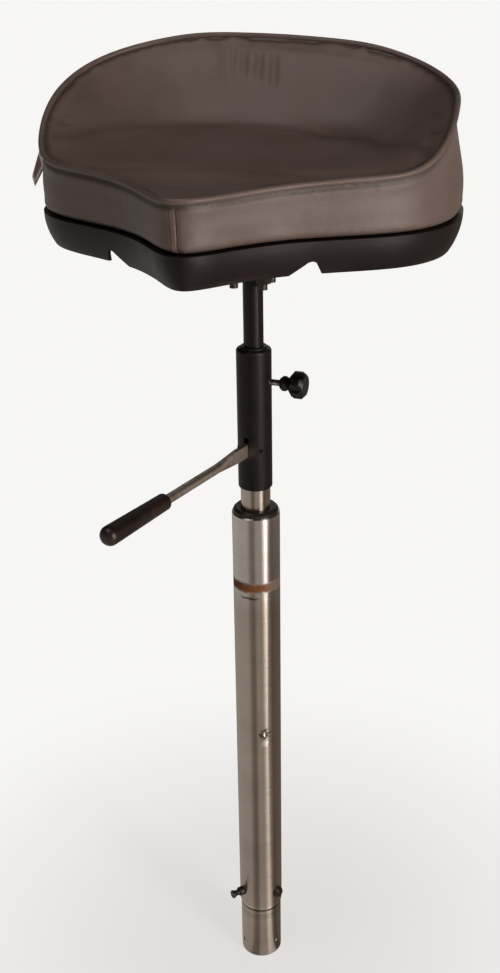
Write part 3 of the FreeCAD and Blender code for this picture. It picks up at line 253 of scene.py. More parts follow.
dress(turned_acetal("black_acetal", "#1b1110", "#2a1e1b"), "top_bushing", "upper_bush")
dress(turned_acetal("natural_acetal", "#cfc8ba", "#b3aa98"), "lower_guide", "lower_bush", "post_washer",
      "clamp_pad")


# Base plug, bearing and lock: the turned aluminium plug with its ring of balls between ground races,
# and the plunger that locks it. That is a steel pin and spring in a black collar, pulled by a flared
# plastic knob.
def turned_metal(name, code, roughness, lines_mm, depth):
    """Metal off the lathe or out of a plating bath: a tone that clouds a little, and fine rings that
    are drawn at twice their spacing to show."""
    finish, tree, shader, place = new_finish(name, code, 1.0, roughness)
    cloud = add(tree, "TexNoise", {"Vector": place, "Scale": PER_MM / 12, "Detail": 4.0}).outputs["Fac"]
    shade = add(tree, "MapRange", {"Value": cloud, "To Min": 0.78, "To Max": 1.08}).outputs["Result"]
    tone = add(tree, "MixRGB", {"Fac": 1.0, "Color1": code, "Color2": shade}, blend_type="MULTIPLY")
    tree.links.new(tone.outputs["Color"], shader.inputs["Base Color"])
    rough = add(tree, "Math", {0: cloud, 1: 0.14, 2: roughness - 0.07}, operation="MULTIPLY_ADD")
    tree.links.new(rough.outputs["Value"], shader.inputs["Roughness"])
    rings = add(tree, "TexWave", {"Vector": place, "Scale": PER_MM / lines_mm / math.tau,
                                  "Distortion": 0.3}, bands_direction="Z")
    relief = add(tree, "Bump", {"Height": rings.outputs["Fac"], "Strength": depth, "Distance": 0.0002})
    tree.links.new(relief.outputs["Normal"], shader.inputs["Normal"])
    return finish


def moulded(name, code, worn_code, roughness, grain_mm, depth):
    """Moulded or coated black: a fine pebble in the surface, rubbed paler and smoother in patches."""
    finish, tree, shader, place = new_finish(name, code, 0.0, roughness)
    grain = add(tree, "TexNoise", {"Vector": place, "Scale": PER_MM / grain_mm, "Detail": 2.0})
    cloud = add(tree, "TexNoise", {"Vector": place, "Scale": PER_MM / 28, "Detail": 4.0})
    rubbed = add(tree, "MapRange", {"Value": cloud.outputs["Fac"], "From Min": 0.42,
                                    "From Max": 0.75}).outputs["Result"]
    tone = add(tree, "MixRGB", {"Fac": rubbed, "Color1": code, "Color2": worn_code})
    tree.links.new(tone.outputs["Color"], shader.inputs["Base Color"])
    rough = add(tree, "Math", {0: rubbed, 1: -0.12, 2: roughness + 0.04}, operation="MULTIPLY_ADD")
    tree.links.new(rough.outputs["Value"], shader.inputs["Roughness"])
    relief = add(tree, "Bump", {"Height": grain.outputs["Fac"], "Strength": depth,
                                "Distance": 0.0003})
    tree.links.new(relief.outputs["Normal"], shader.inputs["Normal"])
    return finish


bright_plating = turned_metal("zinc_plated_steel", "#b9b4aa", 0.3, 0.8, 0.05)
ground_steel = turned_metal("ground_bearing_steel", "#a8a6a2", 0.16, 0.5, 0.03)
dress(turned_metal("turned_aluminium", "#b5b3af", 0.34, 0.6, 0.12), "base_plug")
dress(ground_steel, "lower_race", "thrust_balls", "upper_race")
dress(turned_metal("oiled_spring_steel", "#6f6a62", 0.3, 0.7, 0.05), "plunger_spring", "rod_clip")
dress(bright_plating, "plunger_pin")
dress(moulded("black_fitting", "#17100f", "#2a211e", 0.42, 0.9, 0.12), "lock_housing", "side_screw")
knob_plastic = moulded("knob_phenolic", "#16100f", "#2b211e", 0.38, 1.1, 0.1)
dress(knob_plastic, "plunger_knob")


# Gas lift: the chromed rod stands on the bearing, and the bright pressure tube that slides on it
# carries the seat. Its guide, valve and release pin are turned parts inside, with a rubber ring as
# the end stop.
def bright_drawn_tube():
    """Cold drawn and polished tube: paler and smoother than the deck tube, its highlights in bands."""
    finish, tree, shader, place = new_finish("bright_lift_steel", "#e2dad0", 1.0, 0.27)
    draw = add(tree, "Mapping", {"Vector": place, "Scale": (30, 30, 1)})
    lines = add(tree, "TexNoise", {"Vector": draw.outputs["Vector"], "Scale": PER_MM / 25,
                                   "Detail": 3.0}).outputs["Fac"]
    tone = add(tree, "ValToRGB", {"Fac": lines}, stops=[(0.3, "#b6aca2"), (0.7, "#c9c0b7")])
    tree.links.new(tone.outputs["Color"], shader.inputs["Base Color"])
    rough = add(tree, "Math", {0: lines, 1: 0.12, 2: 0.2}, operation="MULTIPLY_ADD")
    tree.links.new(rough.outputs["Value"], shader.inputs["Roughness"])
    shader.inputs["Anisotropic"].default_value = 0.7
    shader.inputs["Anisotropic Rotation"].default_value = 0.25
    tangent = add(tree, "Tangent", direction_type="RADIAL", axis=TUBE_AXIS)
    tree.links.new(tangent.outputs["Tangent"], shader.inputs["Tangent"])
    return finish


dress(bright_drawn_tube(), "pressure_tube")
dress(turned_metal("hard_chrome", "#cfcfcd", 0.09, 1.4, 0.01), "piston_rod")
dress(bright_plating, "rod_guide", "valve_body", "valve_pin")
dress(moulded("black_rubber", "#1b1918", "#2b2826", 0.68, 0.7, 0.2), "bump_ring")


# Sleeve: the black steel sleeve clamped on the lift, spray painted in satin, with a soft bevel on top.
# Years of raising the seat have rubbed the paint thin round its mouth and by the lever's slot.
SLEEVE_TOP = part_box("lever_sleeve")[1].z
SLOT_SPOT = (-0.006, -0.017, 0.571)
SLOT_REACH = 0.012
PAINT_SPECULAR = 0.27


def satin_black_paint(name, roughness):
    """Satin enamel on steel: nearly black with a brown cast, a slight orange peel, grey where thin."""
    finish, tree, shader, place = new_finish(name, "#1d1514", 0.0, roughness)
    peel = add(tree, "TexNoise", {"Vector": place, "Scale": PER_MM / 2.2, "Detail": 2.0})
    cloud = add(tree, "TexNoise", {"Vector": place, "Scale": PER_MM / 16, "Detail": 5.0}).outputs["Fac"]
    height = add(tree, "SeparateXYZ", {"Vector": place}).outputs["Z"]
    mouth = between(tree, height, SLEEVE_TOP - 0.004, SLEEVE_TOP + 0.001, 0.002)
    slot = around(tree, place, SLOT_SPOT, UNBOUNDED, SLOT_REACH, 0.005)
    patchy = add(tree, "MapRange", {"Value": cloud, "From Min": 0.45, "From Max": 0.65})
    thin = combine(tree, "MULTIPLY", combine(tree, "MAXIMUM", mouth, slot),
                   patchy.outputs["Result"], 0.6)
    tone = add(tree, "MixRGB", {"Fac": cloud, "Color1": "#140d0c", "Color2": "#1f1614"})
    worn = add(tree, "MixRGB", {"Fac": thin, "Color1": tone.outputs["Color"], "Color2": "#4d443e"})
    tree.links.new(worn.outputs["Color"], shader.inputs["Base Color"])
    shader.inputs["Specular IOR Level"].default_value = PAINT_SPECULAR
    rough = add(tree, "Math", {0: cloud, 1: 0.16, 2: roughness - 0.08}, operation="MULTIPLY_ADD")
    tree.links.new(rough.outputs["Value"], shader.inputs["Roughness"])
    relief = add(tree, "Bump", {"Height": peel.outputs["Fac"], "Strength": 0.12, "Distance": 0.0003})
    tree.links.new(relief.outputs["Normal"], shader.inputs["Normal"])
    return finish


dress(satin_black_paint("satin_black_sleeve", 0.44), "lever_sleeve")


# Height lever: a bright steel rod hammered flat where it enters the sleeve, pinned there over the
# release pin. Its grip is dipped vinyl with a round end.
def lever_metal():
    """Nickel plated bar: bright, clouded greyer, browner and rougher in patches, and dented all over.
    """
    finish, tree, shader, place = new_finish("nickel_plated_bar", "#cfc4b6", 1.0, 0.4)
    cloud = add(tree, "TexNoise", {"Vector": place, "Scale": PER_MM / 8, "Detail": 5.0}).outputs["Fac"]
    tone = add(tree, "ValToRGB", {"Fac": cloud},
               stops=[(0.32, "#b0a292"), (0.46, "#d6cbbe"), (0.7, "#e8e0d6")])
    tree.links.new(tone.outputs["Color"], shader.inputs["Base Color"])
    rough = add(tree, "Math", {0: cloud, 1: -0.2, 2: 0.55}, operation="MULTIPLY_ADD")
    tree.links.new(rough.outputs["Value"], shader.inputs["Roughness"])
    dents = add(tree, "TexVoronoi", {"Vector": place, "Scale": PER_MM / 6}, feature="SMOOTH_F1")
    relief = add(tree, "Bump", {"Height": dents.outputs["Distance"], "Strength": 0.15,
                                "Distance": 0.0004})
    tree.links.new(relief.outputs["Normal"], shader.inputs["Normal"])
    return finish


dress(lever_metal(), "lever_rod")
dress(moulded("painted_pin", "#1d1514", "#332a26", 0.5, 2.0, 0.1), "lever_pin")
dress(moulded("dipped_vinyl", "#1d1412", "#3a2a22", 0.36, 1.6, 0.12), "lever_grip")


# Clamp: a zinc plated stud with a soft tip, and the lobed plastic knob moulded on its outer end.
# Only about a centimetre of the stud's thread shows between knob and sleeve.
STUD_YAW = math.radians(86)
THREAD_MM = 1.0
THREAD_COARSER = math.tau
WAVES_AT_ONE = 3.2


def threaded_plating():
    """Zinc plated thread: the wave bump stands for its turns along the stud's own axis, drawn six times
    as coarse as they are to show."""
    finish, tree, shader, place = new_finish("threaded_zinc_plating", "#b4aea4", 1.0, 0.3)
    turned = add(tree, "Mapping", {"Vector": place, "Rotation": (0, 0, math.pi / 2 - STUD_YAW)})
    turns = add(tree, "TexWave", {"Vector": turned.outputs["Vector"],
                                  "Scale": PER_MM / THREAD_MM / THREAD_COARSER / WAVES_AT_ONE},
                bands_direction="X").outputs["Fac"]
    # Painted shade: the thread's grooves darker and its crests lighter, following the wave.
    painted_thread_shade = add(tree, "MixRGB", {"Fac": turns, "Color1": "#8a8076", "Color2": "#e2dcd3"})
    tree.links.new(painted_thread_shade.outputs["Color"], shader.inputs["Base Color"])
    relief = add(tree, "Bump", {"Height": turns, "Strength": 0.6, "Distance": 0.0004})
    tree.links.new(relief.outputs["Normal"], shader.inputs["Normal"])
    return finish


dress(threaded_plating(), "clamp_stud")
dress(knob_plastic, "clamp_knob")


# Seat post and its joint to the seat: a painted bar with a square flange, bolted to a pressed steel
# mount whose wide plate is bolted to the pan. The nuts and washers are zinc plated and dull with salt.
dress(satin_black_paint("satin_black_post", 0.4), "seat_post")
dress(moulded("black_dipped_steel", "#1b1514", "#2f2725", 0.5, 1.8, 0.15), "seat_mount")
dull_plating = turned_metal("salt_dulled_zinc", "#564d45", 0.5, 1.1, 0.1)
dress(dull_plating, "flange_bolts", "flange_washers", "flange_nuts", "pan_bolts", "pan_washers",
      "tee_nuts", "cushion_screws")


# Seat pan: one moulding in black polypropylene, with the ribs and bosses left by the mould underneath.
# Its skirt is scuffed brown-grey in patches along the lower edge.
SCUFFED_HIGH = 0.0035


def pan_polypropylene():
    """Moulded polypropylene: a soft sheen, a fine spark-eroded grain and paler scuffs low down."""
    finish, tree, shader, place = new_finish("black_polypropylene", "#221918", 0.0, 0.46)
    grain = add(tree, "TexNoise", {"Vector": place, "Scale": PER_MM / 1.6, "Detail": 3.0})
    cloud = add(tree, "TexNoise", {"Vector": place, "Scale": PER_MM / 35, "Detail": 5.0}).outputs["Fac"]
    height = add(tree, "SeparateXYZ", {"Vector": place}).outputs["Z"]
    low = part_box("seat_pan")[0].z
    edge = between(tree, height, low - 0.002, low + SCUFFED_HIGH, 0.002)
    scuffs = add(tree, "MapRange", {"Value": cloud, "From Min": 0.5, "From Max": 0.7})
    scuffed = combine(tree, "MULTIPLY", edge, scuffs.outputs["Result"], 0.5)
    tone = add(tree, "MixRGB", {"Fac": cloud, "Color1": "#120b0b", "Color2": "#261c1b"})
    worn = add(tree, "MixRGB", {"Fac": scuffed, "Color1": tone.outputs["Color"],
                                "Color2": "#463b35"})
    tree.links.new(worn.outputs["Color"], shader.inputs["Base Color"])
    shader.inputs["Specular IOR Level"].default_value = PAINT_SPECULAR
    rough = add(tree, "Math", {0: cloud, 1: 0.24, 2: 0.34}, operation="MULTIPLY_ADD")
    tree.links.new(rough.outputs["Value"], shader.inputs["Roughness"])
    relief = add(tree, "Bump", {"Height": grain.outputs["Fac"], "Strength": 0.2, "Distance": 0.0003})
    tree.links.new(relief.outputs["Normal"], shader.inputs["Normal"])
    return finish


dress(pan_polypropylene(), "seat_pan")


# Cushion: foam moulded as a saddle seat with a low wrap-around back, under one cover of marine vinyl.
# The cover's top panel and side panel are sewn together over a piping and stapled down round the pan.
COVER_VOXEL = 0.0042
COVER_SLACK = 0.0028
STUFFING_PRESSURE = 4.0
STUFFING_FRAMES = 20
SWELL_CAP = 0.006
MERGED_WITHIN = 0.00002
CORNER_ANGLE = math.radians(32)
CORNER_ABOVE = 0.03
SEAM_ROUNDS, SEAM_LEVEL_ROUNDS, GAP_ROUNDS = 16, 90, 2
SOFTEN_ROUNDS, EVEN_ROUNDS, SETTLE_ROUNDS, IRON_ROUNDS = 12, 24, 6, 30
DRAW_ROUNDS = 3
SEWN_NEAR, SEWN_FADE = 0.004, 0.007
RIM_REACH, RIM_FADE = 0.016, 0.006
EDGE_REACH = 0.009
LINE_STEP = 0.0025
SUNK_SLOPE, SUNK_RISE = 0.05, 0.09
SUNK_FROM, SUNK_SPAN = 58, 60
GROOVE_OFF, GROOVE_WIDE, GROOVE_DEEP = 0.0042, 0.0018, 0.0016
GROOVE_DIRT_AND_SHADE = 0.0024
PAN_GAP = 0.0003
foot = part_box("cushion")[0].z


def activate(item):
    """Makes one object the only one selected, and the active one."""
    bpy.ops.object.select_all(action="DESELECT")
    item.select_set(True)
    bpy.context.view_layer.objects.active = item


def apply(item, modifier, **settings):
    """Sets a modifier up and applies it."""
    for name, value in settings.items():
        setattr(modifier, name, value)
    activate(item)
    bpy.ops.object.modifier_apply(modifier=modifier.name)


def places_of(item):
    """The places of a mesh's points as rows of x, y, z."""
    flat = np.zeros(len(item.data.vertices) * 3)
    item.data.vertices.foreach_get("co", flat)
    return flat.reshape(-1, 3)


def set_places(item, places):
    """Moves a mesh's points to new places."""
    item.data.vertices.foreach_set("co", places.astype(np.float32).ravel())
    item.data.update()


def normals_of(item):
    """The outward normal at each point of a mesh."""
    flat = np.zeros(len(item.data.vertices) * 3, np.float32)
    item.data.vertex_normals.foreach_get("vector", flat)
    return flat.reshape(-1, 3).astype(float)


def even_line(points, step, closed):
    """A line through points, with new points at even steps along it."""
    path = np.vstack([points, points[:1]]) if closed else np.asarray(points, float)
    runs = np.concatenate([[0.0], np.cumsum(np.linalg.norm(np.diff(path, axis=0), axis=1))])
    spots = np.linspace(0, runs[-1], max(int(round(runs[-1] / step)), 2), endpoint=not closed)
    return np.stack([np.interp(spots, runs, path[:, axis]) for axis in range(3)], 1)


def relaxed(line, rounds):
    """A closed line smoothed by its neighbours a number of times."""
    for _ in range(rounds):
        line = (np.roll(line, 1, 0) + 2 * line + np.roll(line, -1, 0)) / 4
    return line


def nearness(places, line):
    """Distance of each place from the nearest point of a line, and that point's number."""
    tree = KDTree(len(line))
    for number, point in enumerate(line):
        tree.insert(point, number)
    tree.balance()
    found = [tree.find(place) for place in places]
    return np.array([hit[2] for hit in found]), np.array([hit[1] for hit in found])


def surface_of(item):
    """A search tree over an object's faces."""
    return BVHTree.FromPolygons([point.co for point in item.data.vertices],
                                [list(face.vertices) for face in item.data.polygons])


def weigh(item, name, weights):
    """Gives a mesh a vertex group with one weight for each point."""
    group = item.vertex_groups.new(name=name)
    for number, weight in enumerate(weights):
        group.add([number], float(weight), "REPLACE")


def keep(item, name, values):
    """Keeps one number for each point of a mesh, which its material reads."""
    kept = item.data.attributes.new(name, "FLOAT", "POINT")
    kept.data.foreach_set("value", values.astype(np.float32))


def drawn_to(item, line):
    """Draws the cloth's corner up to the line that it is sewn along, easing off over a short reach."""
    surface = surface_of(item)
    gap = np.array([Vector(point) - surface.find_nearest(Vector(point))[0] for point in line])
    places = places_of(item)
    reach, number = nearness(places, line)
    share = np.exp(-(reach / EDGE_REACH) ** 2)[:, None]
    set_places(item, places + relaxed(gap, GAP_ROUNDS)[number] * share)


def sunken(places):
    """Old foam: the backrest has sunk a little on the sitter's left and stands prouder on the right."""
    turn = np.degrees(np.arctan2(np.abs(places[:, 0]), -places[:, 1]))
    ease = np.clip((turn - SUNK_FROM) / SUNK_SPAN, 0, 1)
    share = np.clip((places[:, 2] - foot) / SUNK_RISE, 0, 1)
    lower = places.copy()
    lower[:, 2] -= SUNK_SLOPE * places[:, 0] * ease * ease * (3 - 2 * ease) * share
    return lower


# The sewn edge is the sharp line round the top of the moulded form
cover = bpy.data.objects.new("cushion_cover", nodes["cushion"].data.copy())
bpy.context.scene.collection.objects.link(cover)
set_places(cover, sunken(places_of(cover)))
activate(cover)
bpy.ops.object.mode_set(mode="EDIT")
bpy.ops.mesh.select_all(action="SELECT")
bpy.ops.mesh.remove_doubles(threshold=MERGED_WITHIN)
bpy.ops.mesh.select_all(action="DESELECT")
bpy.ops.mesh.select_mode(type="EDGE")
bpy.ops.mesh.edges_select_sharp(sharpness=CORNER_ANGLE)
bpy.ops.object.mode_set(mode="OBJECT")
corners = cover.data.vertices
rim_edges = [edge.vertices[:] for edge in cover.data.edges
             if edge.select and min(corners[end].co.z for end in edge.vertices) > foot + CORNER_ABOVE]
neighbours = {}
for first, second in rim_edges:
    neighbours.setdefault(first, []).append(second)
    neighbours.setdefault(second, []).append(first)
start = min(neighbours, key=lambda number: corners[number].co.y)
walk = [start]
ahead = neighbours[start][0]
while ahead != start:
    walk.append(ahead)
    onward = [number for number in neighbours[ahead] if number != walk[-2]]
    ahead = onward[0] if onward else start
edge_line = even_line(np.array([corners[number].co[:] for number in walk]), LINE_STEP, True)
sewn_line = relaxed(edge_line, SEAM_ROUNDS)
sewn_line[:, 2] = relaxed(edge_line, SEAM_LEVEL_ROUNDS)[:, 2]

# The cover starts a little slack, held at the sewn edge and at the pan, and the stuffing blows it full
apply(cover, cover.modifiers.new("even_cloth", "REMESH"), mode="VOXEL", voxel_size=COVER_VOXEL)
edge_reach, _ = nearness(places_of(cover), sewn_line)
held = np.clip(1 - (edge_reach - SEWN_NEAR) / SEWN_FADE, 0, 1)
held = np.maximum(held, np.clip(1 - (places_of(cover)[:, 2] - foot - SEWN_NEAR) / SEWN_FADE, 0, 1))
weigh(cover, "sewn", held)
weigh(cover, "loose", 1 - held)
apply(cover, cover.modifiers.new("soften", "SMOOTH"), factor=0.5, iterations=SOFTEN_ROUNDS)
apply(cover, cover.modifiers.new("even_out", "SMOOTH"), factor=0.5, iterations=EVEN_ROUNDS,
      vertex_group="loose")
drawn_to(cover, sewn_line)
slack = places_of(cover) - normals_of(cover) * (COVER_SLACK * (1 - held))[:, None]
set_places(cover, slack)
stuffing = cover.modifiers.new("stuffing", "CLOTH")
stuffing.settings.use_pressure = True
stuffing.settings.uniform_pressure_force = STUFFING_PRESSURE
stuffing.settings.effector_weights.gravity = 0.0
stuffing.settings.vertex_group_mass = "sewn"
stuffing.point_cache.frame_start = 1
stuffing.point_cache.frame_end = STUFFING_FRAMES
for number in range(1, STUFFING_FRAMES + 1):
    bpy.context.scene.frame_set(number)
apply(cover, stuffing)
swell = places_of(cover) - slack
length = np.linalg.norm(swell, axis=1)
share = np.minimum(length, SWELL_CAP) / np.maximum(length, 1e-9)
set_places(cover, slack + swell * share[:, None])
apply(cover, cover.modifiers.new("settle", "SMOOTH"), factor=0.5, iterations=SETTLE_ROUNDS)
edge_reach, _ = nearness(places_of(cover), sewn_line)
weigh(cover, "rim", np.clip((RIM_REACH - edge_reach) / RIM_FADE, 0, 1))
apply(cover, cover.modifiers.new("rim_ironed", "SMOOTH"), factor=0.5, iterations=IRON_ROUNDS,
      vertex_group="rim")
drawn_to(cover, sewn_line)
apply(cover, cover.modifiers.new("fine_cloth", "SUBSURF"), levels=1, render_levels=1)
cover.vertex_groups.clear()

# Seams and folds are lines on the cover where the vinyl is drawn in. Each kind has its width, its
# depth, the darkening in it (dirt with painted shade), and whether it runs out at its ends.
VALLEY = [(-0.162, -0.046, 0.864), (-0.149, -0.035, 0.863), (-0.136, 0.000, 0.864),
          (-0.121, 0.032, 0.861), (-0.086, 0.056, 0.860), (-0.030, 0.061, 0.862),
          (0.020, 0.058, 0.861), (0.053, 0.047, 0.859), (0.095, 0.045, 0.857),
          (0.139, -0.016, 0.863), (0.161, -0.046, 0.864), (0.172, -0.060, 0.860)]
FLUTES = [[(-0.057, 0.105, 0.929), (-0.052, 0.085, 0.895)],
          [(-0.047, 0.105, 0.928), (-0.044, 0.089, 0.901)],
          [(-0.036, 0.105, 0.928), (-0.033, 0.090, 0.902)],
          [(-0.020, 0.104, 0.926), (-0.018, 0.087, 0.899)],
          [(-0.006, 0.102, 0.923), (-0.002, 0.084, 0.894)]]
WING_CREASES = [[(0.148, 0.032, 0.884), (0.171, -0.007, 0.890)],
                [(0.159, -0.017, 0.876), (0.176, -0.030, 0.880)],
                [(0.147, -0.034, 0.862), (0.171, -0.043, 0.870)],
                [(-0.167, -0.030, 0.875), (-0.156, -0.027, 0.870)]]
NOSE_SEAM = [(0.0, -0.201, foot + 0.038), (0.0, -0.202, foot + 0.020), (0.0, -0.199, foot)]
DRAWN_IN = (([VALLEY], 0.0085, 0.0013, 0.4, False), (FLUTES, 0.0044, 0.0018, 0.25, True),
            (WING_CREASES, 0.0044, 0.0010, 0.3, True), ([NOSE_SEAM], 0.0026, 0.0012, 0.2, False))
NOSE_BACK = -0.17
NOSE_SEAM_TOP = 0.036
STITCHED = (-0.0006, 0.0006)
LAPPED = (-0.0050, -0.0008)

places = places_of(cover)
outward = normals_of(cover)
edge_reach, _ = nearness(places, sewn_line)
offset = -GROOVE_DEEP * np.exp(-((edge_reach - GROOVE_OFF) / GROOVE_WIDE) ** 2)
# The darkening along the seams and folds is dirt together with painted shade in the creases.
seam_dirt_and_shade = np.exp(-((edge_reach - GROOVE_OFF) / GROOVE_DIRT_AND_SHADE) ** 2)
cloth = surface_of(cover)
for lines, width, depth, dirt_and_shade, tapered in DRAWN_IN:
    for line in lines:
        run = [cloth.find_nearest(Vector(point))[0] for point in even_line(line, LINE_STEP, False)]
        reach, number = nearness(places, run)
        taper = np.sin(np.pi * (number + 0.5) / len(run)) ** 0.5 if tapered else 1.0
        offset = offset - depth * taper * np.exp(-(reach / width) ** 2)
        seam_dirt_and_shade = np.maximum(seam_dirt_and_shade, dirt_and_shade * taper * np.exp(-(reach / (width * 0.7)) ** 2))
set_places(cover, places + outward * offset[:, None])
for _ in range(DRAW_ROUNDS):
    drawn_to(cover, sewn_line)
places = places_of(cover)
places[:, 2] = np.maximum(places[:, 2], foot + PAN_GAP)
set_places(cover, places)
keep(cover, "seam_dirt_and_shade", seam_dirt_and_shade)
bpy.ops.object.shade_smooth()


def marine_vinyl(name, darken_seams):
    """Expanded marine vinyl: taupe, with a leather grain pressed in and a soft sheen. The real grain is
    near a millimetre, so it is drawn at 2 to show. The seams and folds are darker with dirt and painted
    shade, and at the nose the side panel's ends are lapped and stitched."""
    finish, tree, shader, place = new_finish(name, "#6e605a", 0.0, 0.48)
    cloud = add(tree, "TexNoise", {"Vector": place, "Scale": PER_MM / 55, "Detail": 4.0}).outputs["Fac"]
    tone = add(tree, "ValToRGB", {"Fac": cloud}, stops=[(0.3, "#685952"), (0.7, "#74655f")])
    cells = add(tree, "TexVoronoi", {"Vector": place, "Scale": PER_MM / 2.0},
                feature="DISTANCE_TO_EDGE")
    pebbles = add(tree, "MapRange", {"Value": cells.outputs["Distance"], "From Max": 0.12})
    pores = add(tree, "TexNoise", {"Vector": place, "Scale": PER_MM / 0.8, "Detail": 2.0})
    creases = add(tree, "MapRange", {"Value": pebbles.outputs["Result"], "To Min": 0.12, "To Max": 0.0})
    shaded = add(tree, "MixRGB", {"Fac": creases.outputs["Result"], "Color1": tone.outputs["Color"],
                                  "Color2": "#2f2622"})
    colour = shaded.outputs["Color"]
    grain = add(tree, "Math", {0: pores.outputs["Fac"], 1: 0.25, 2: pebbles.outputs["Result"]},
                operation="MULTIPLY_ADD")
    relief = add(tree, "Bump", {"Height": grain.outputs["Value"], "Strength": 0.22,
                                "Distance": 0.0003})
    if darken_seams:
        dirt_and_shade = add(tree, "Attribute", attribute_name="seam_dirt_and_shade").outputs["Fac"]
        spot = add(tree, "SeparateXYZ", {"Vector": place})
        nose = combine(tree, "MULTIPLY",
                       between(tree, spot.outputs["Y"], UNBOUNDED, NOSE_BACK, 0.005),
                       between(tree, spot.outputs["Z"], foot - 0.01, foot + NOSE_SEAM_TOP, 0.001))
        stitched = combine(tree, "MULTIPLY", nose, between(tree, spot.outputs["X"], *STITCHED, 0.0005))
        lap = combine(tree, "MULTIPLY", nose, between(tree, spot.outputs["X"], *LAPPED, 0.0007))
        # Dirt with painted shade along the seams and folds, and the dark stitched line at the nose.
        darker = combine(tree, "MAXIMUM", combine(tree, "MULTIPLY", dirt_and_shade, 0.62),
                         combine(tree, "MULTIPLY", stitched, 0.85))
        colour = add(tree, "MixRGB", {"Fac": darker, "Color1": colour,
                                      "Color2": "#2a1f1b"}).outputs["Color"]
        relief = add(tree, "Bump", {"Height": lap, "Strength": 0.7, "Distance": 0.0008,
                                    "Normal": relief.outputs["Normal"]})
    tree.links.new(colour, shader.inputs["Base Color"])
    rough = add(tree, "Math", {0: cloud, 1: 0.16, 2: 0.38}, operation="MULTIPLY_ADD")
    tree.links.new(rough.outputs["Value"], shader.inputs["Roughness"])
    tree.links.new(relief.outputs["Normal"], shader.inputs["Normal"])
    return finish


cover.data.materials.clear()
cover.data.materials.append(marine_vinyl("marine_vinyl", True))
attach(cover, "seat")
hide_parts("cushion")


# Piping: a cord wrapped in a strip of the same vinyl and caught in the seam all round the upper edge.
# It stands half out of the seam, and its two ends meet at the middle of the back.
PIPING_RADIUS = 0.0025
PIPING_STAND = 0.0011

along = relaxed(np.roll(sewn_line, -1, 0) - np.roll(sewn_line, 1, 0), SEAM_ROUNDS)
outwards = np.stack([along[:, 1], -along[:, 0]], 1)
outwards *= np.sign(np.sum(outwards * sewn_line[:, :2]))
outwards /= np.linalg.norm(outwards, axis=1)[:, None]
core = sewn_line + np.hstack([outwards, np.ones((len(sewn_line), 1))]) / math.sqrt(2) * PIPING_STAND
welt = bpy.data.curves.new("piping", "CURVE")
welt.dimensions = "3D"
welt.bevel_depth = PIPING_RADIUS
welt.bevel_resolution = 4
run = welt.splines.new("POLY")
run.points.add(len(core) - 1)
run.points.foreach_set("co", np.hstack([core, np.ones((len(core), 1))]).ravel())
run.use_cyclic_u = True
piping = bpy.data.objects.new("piping", welt)
bpy.context.scene.collection.objects.link(piping)
activate(piping)
bpy.ops.object.convert(target="MESH")
bpy.ops.object.shade_smooth()
piping.data.materials.clear()
piping.data.materials.append(marine_vinyl("piping_vinyl", False))
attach(piping, "seat")


# Sewn tag: a woven ribbon, 17 by 22 mm flat, folded double along its length and caught in the side seam
# at the left. Its print is left out: it shows a plain darker field inside a pale edge, gone pinkish.
TAG_YAW = math.radians(-81)
TAG_OUT = np.array([math.sin(TAG_YAW), -math.cos(TAG_YAW), 0])
TAG_FACE = np.array([math.cos(TAG_YAW), math.sin(TAG_YAW), 0])
TAG_AHEAD = 0.008
FOLD_TOP, FOLD_LOW = np.array([0.1905, 0.8520]), np.array([0.1992, 0.8290])
FREE_TOP, FREE_LOW = np.array([0.1868, 0.8390]), np.array([0.1972, 0.8222])
LAYERS_APART = 0.0010
LOWER_BEHIND = 0.0024
FOLD_CURL, FOLD_SPAN = 0.0015, 0.08
RIBBON_THICK = 0.0003
FIELD_ACROSS, FIELD_ALONG = 12, 22
FIELD_FROM, FIELD_FADE = 2.4, 0.6


def woven_ribbon():
    """Polyester ribbon: a fine weave, drawn a little coarse so that it shows, pale at its edges."""
    finish, tree, shader, place = new_finish("woven_ribbon", "#c9b3ac", 0.0, 0.8)
    field = add(tree, "Attribute", attribute_name="field").outputs["Fac"]
    weave = add(tree, "TexChecker", {"Vector": place, "Scale": PER_MM / 0.6})
    tone = add(tree, "MixRGB", {"Fac": field, "Color1": "#f2e8e4", "Color2": "#947672"})
    woven = add(tree, "MixRGB", {"Fac": 0.12, "Color1": tone.outputs["Color"],
                                 "Color2": weave.outputs["Color"]}, blend_type="OVERLAY")
    tree.links.new(woven.outputs["Color"], shader.inputs["Base Color"])
    relief = add(tree, "Bump", {"Height": weave.outputs["Fac"], "Strength": 0.3, "Distance": 0.0002})
    tree.links.new(relief.outputs["Normal"], shader.inputs["Normal"])
    return finish


bpy.ops.mesh.primitive_grid_add(x_subdivisions=48, y_subdivisions=24, size=2)
ribbon = bpy.context.object
ribbon.name = "sewn_ribbon"
across, along = places_of(ribbon)[:, 0] + 1, (1 - places_of(ribbon)[:, 1]) / 2
share = 1 - np.abs(1 - across)
side = np.clip((1 - across) / FOLD_SPAN, -1, 1)
free = FREE_TOP + (FREE_LOW - FREE_TOP) * along[:, None]
fold = FOLD_TOP + (FOLD_LOW - FOLD_TOP) * along[:, None]
flat = free + (fold - free) * share[:, None]
level = flat[:, 1] - LOWER_BEHIND * np.clip(-side, 0, 1) * (1 - share)
stand = TAG_AHEAD + LAYERS_APART / 2 * side - FOLD_CURL * share ** 2
lifted = np.outer(flat[:, 0], TAG_OUT) + np.outer(stand, TAG_FACE) + np.outer(level, [0, 0, 1])
set_places(ribbon, lifted)
inner = np.minimum(share * FIELD_ACROSS, np.minimum(along, 1 - along) * FIELD_ALONG)
keep(ribbon, "field", np.clip((inner - FIELD_FROM) / FIELD_FADE, 0, 1))
apply(ribbon, ribbon.modifiers.new("weave_thickness", "SOLIDIFY"), thickness=RIBBON_THICK, offset=0.0)
bpy.ops.object.shade_smooth()
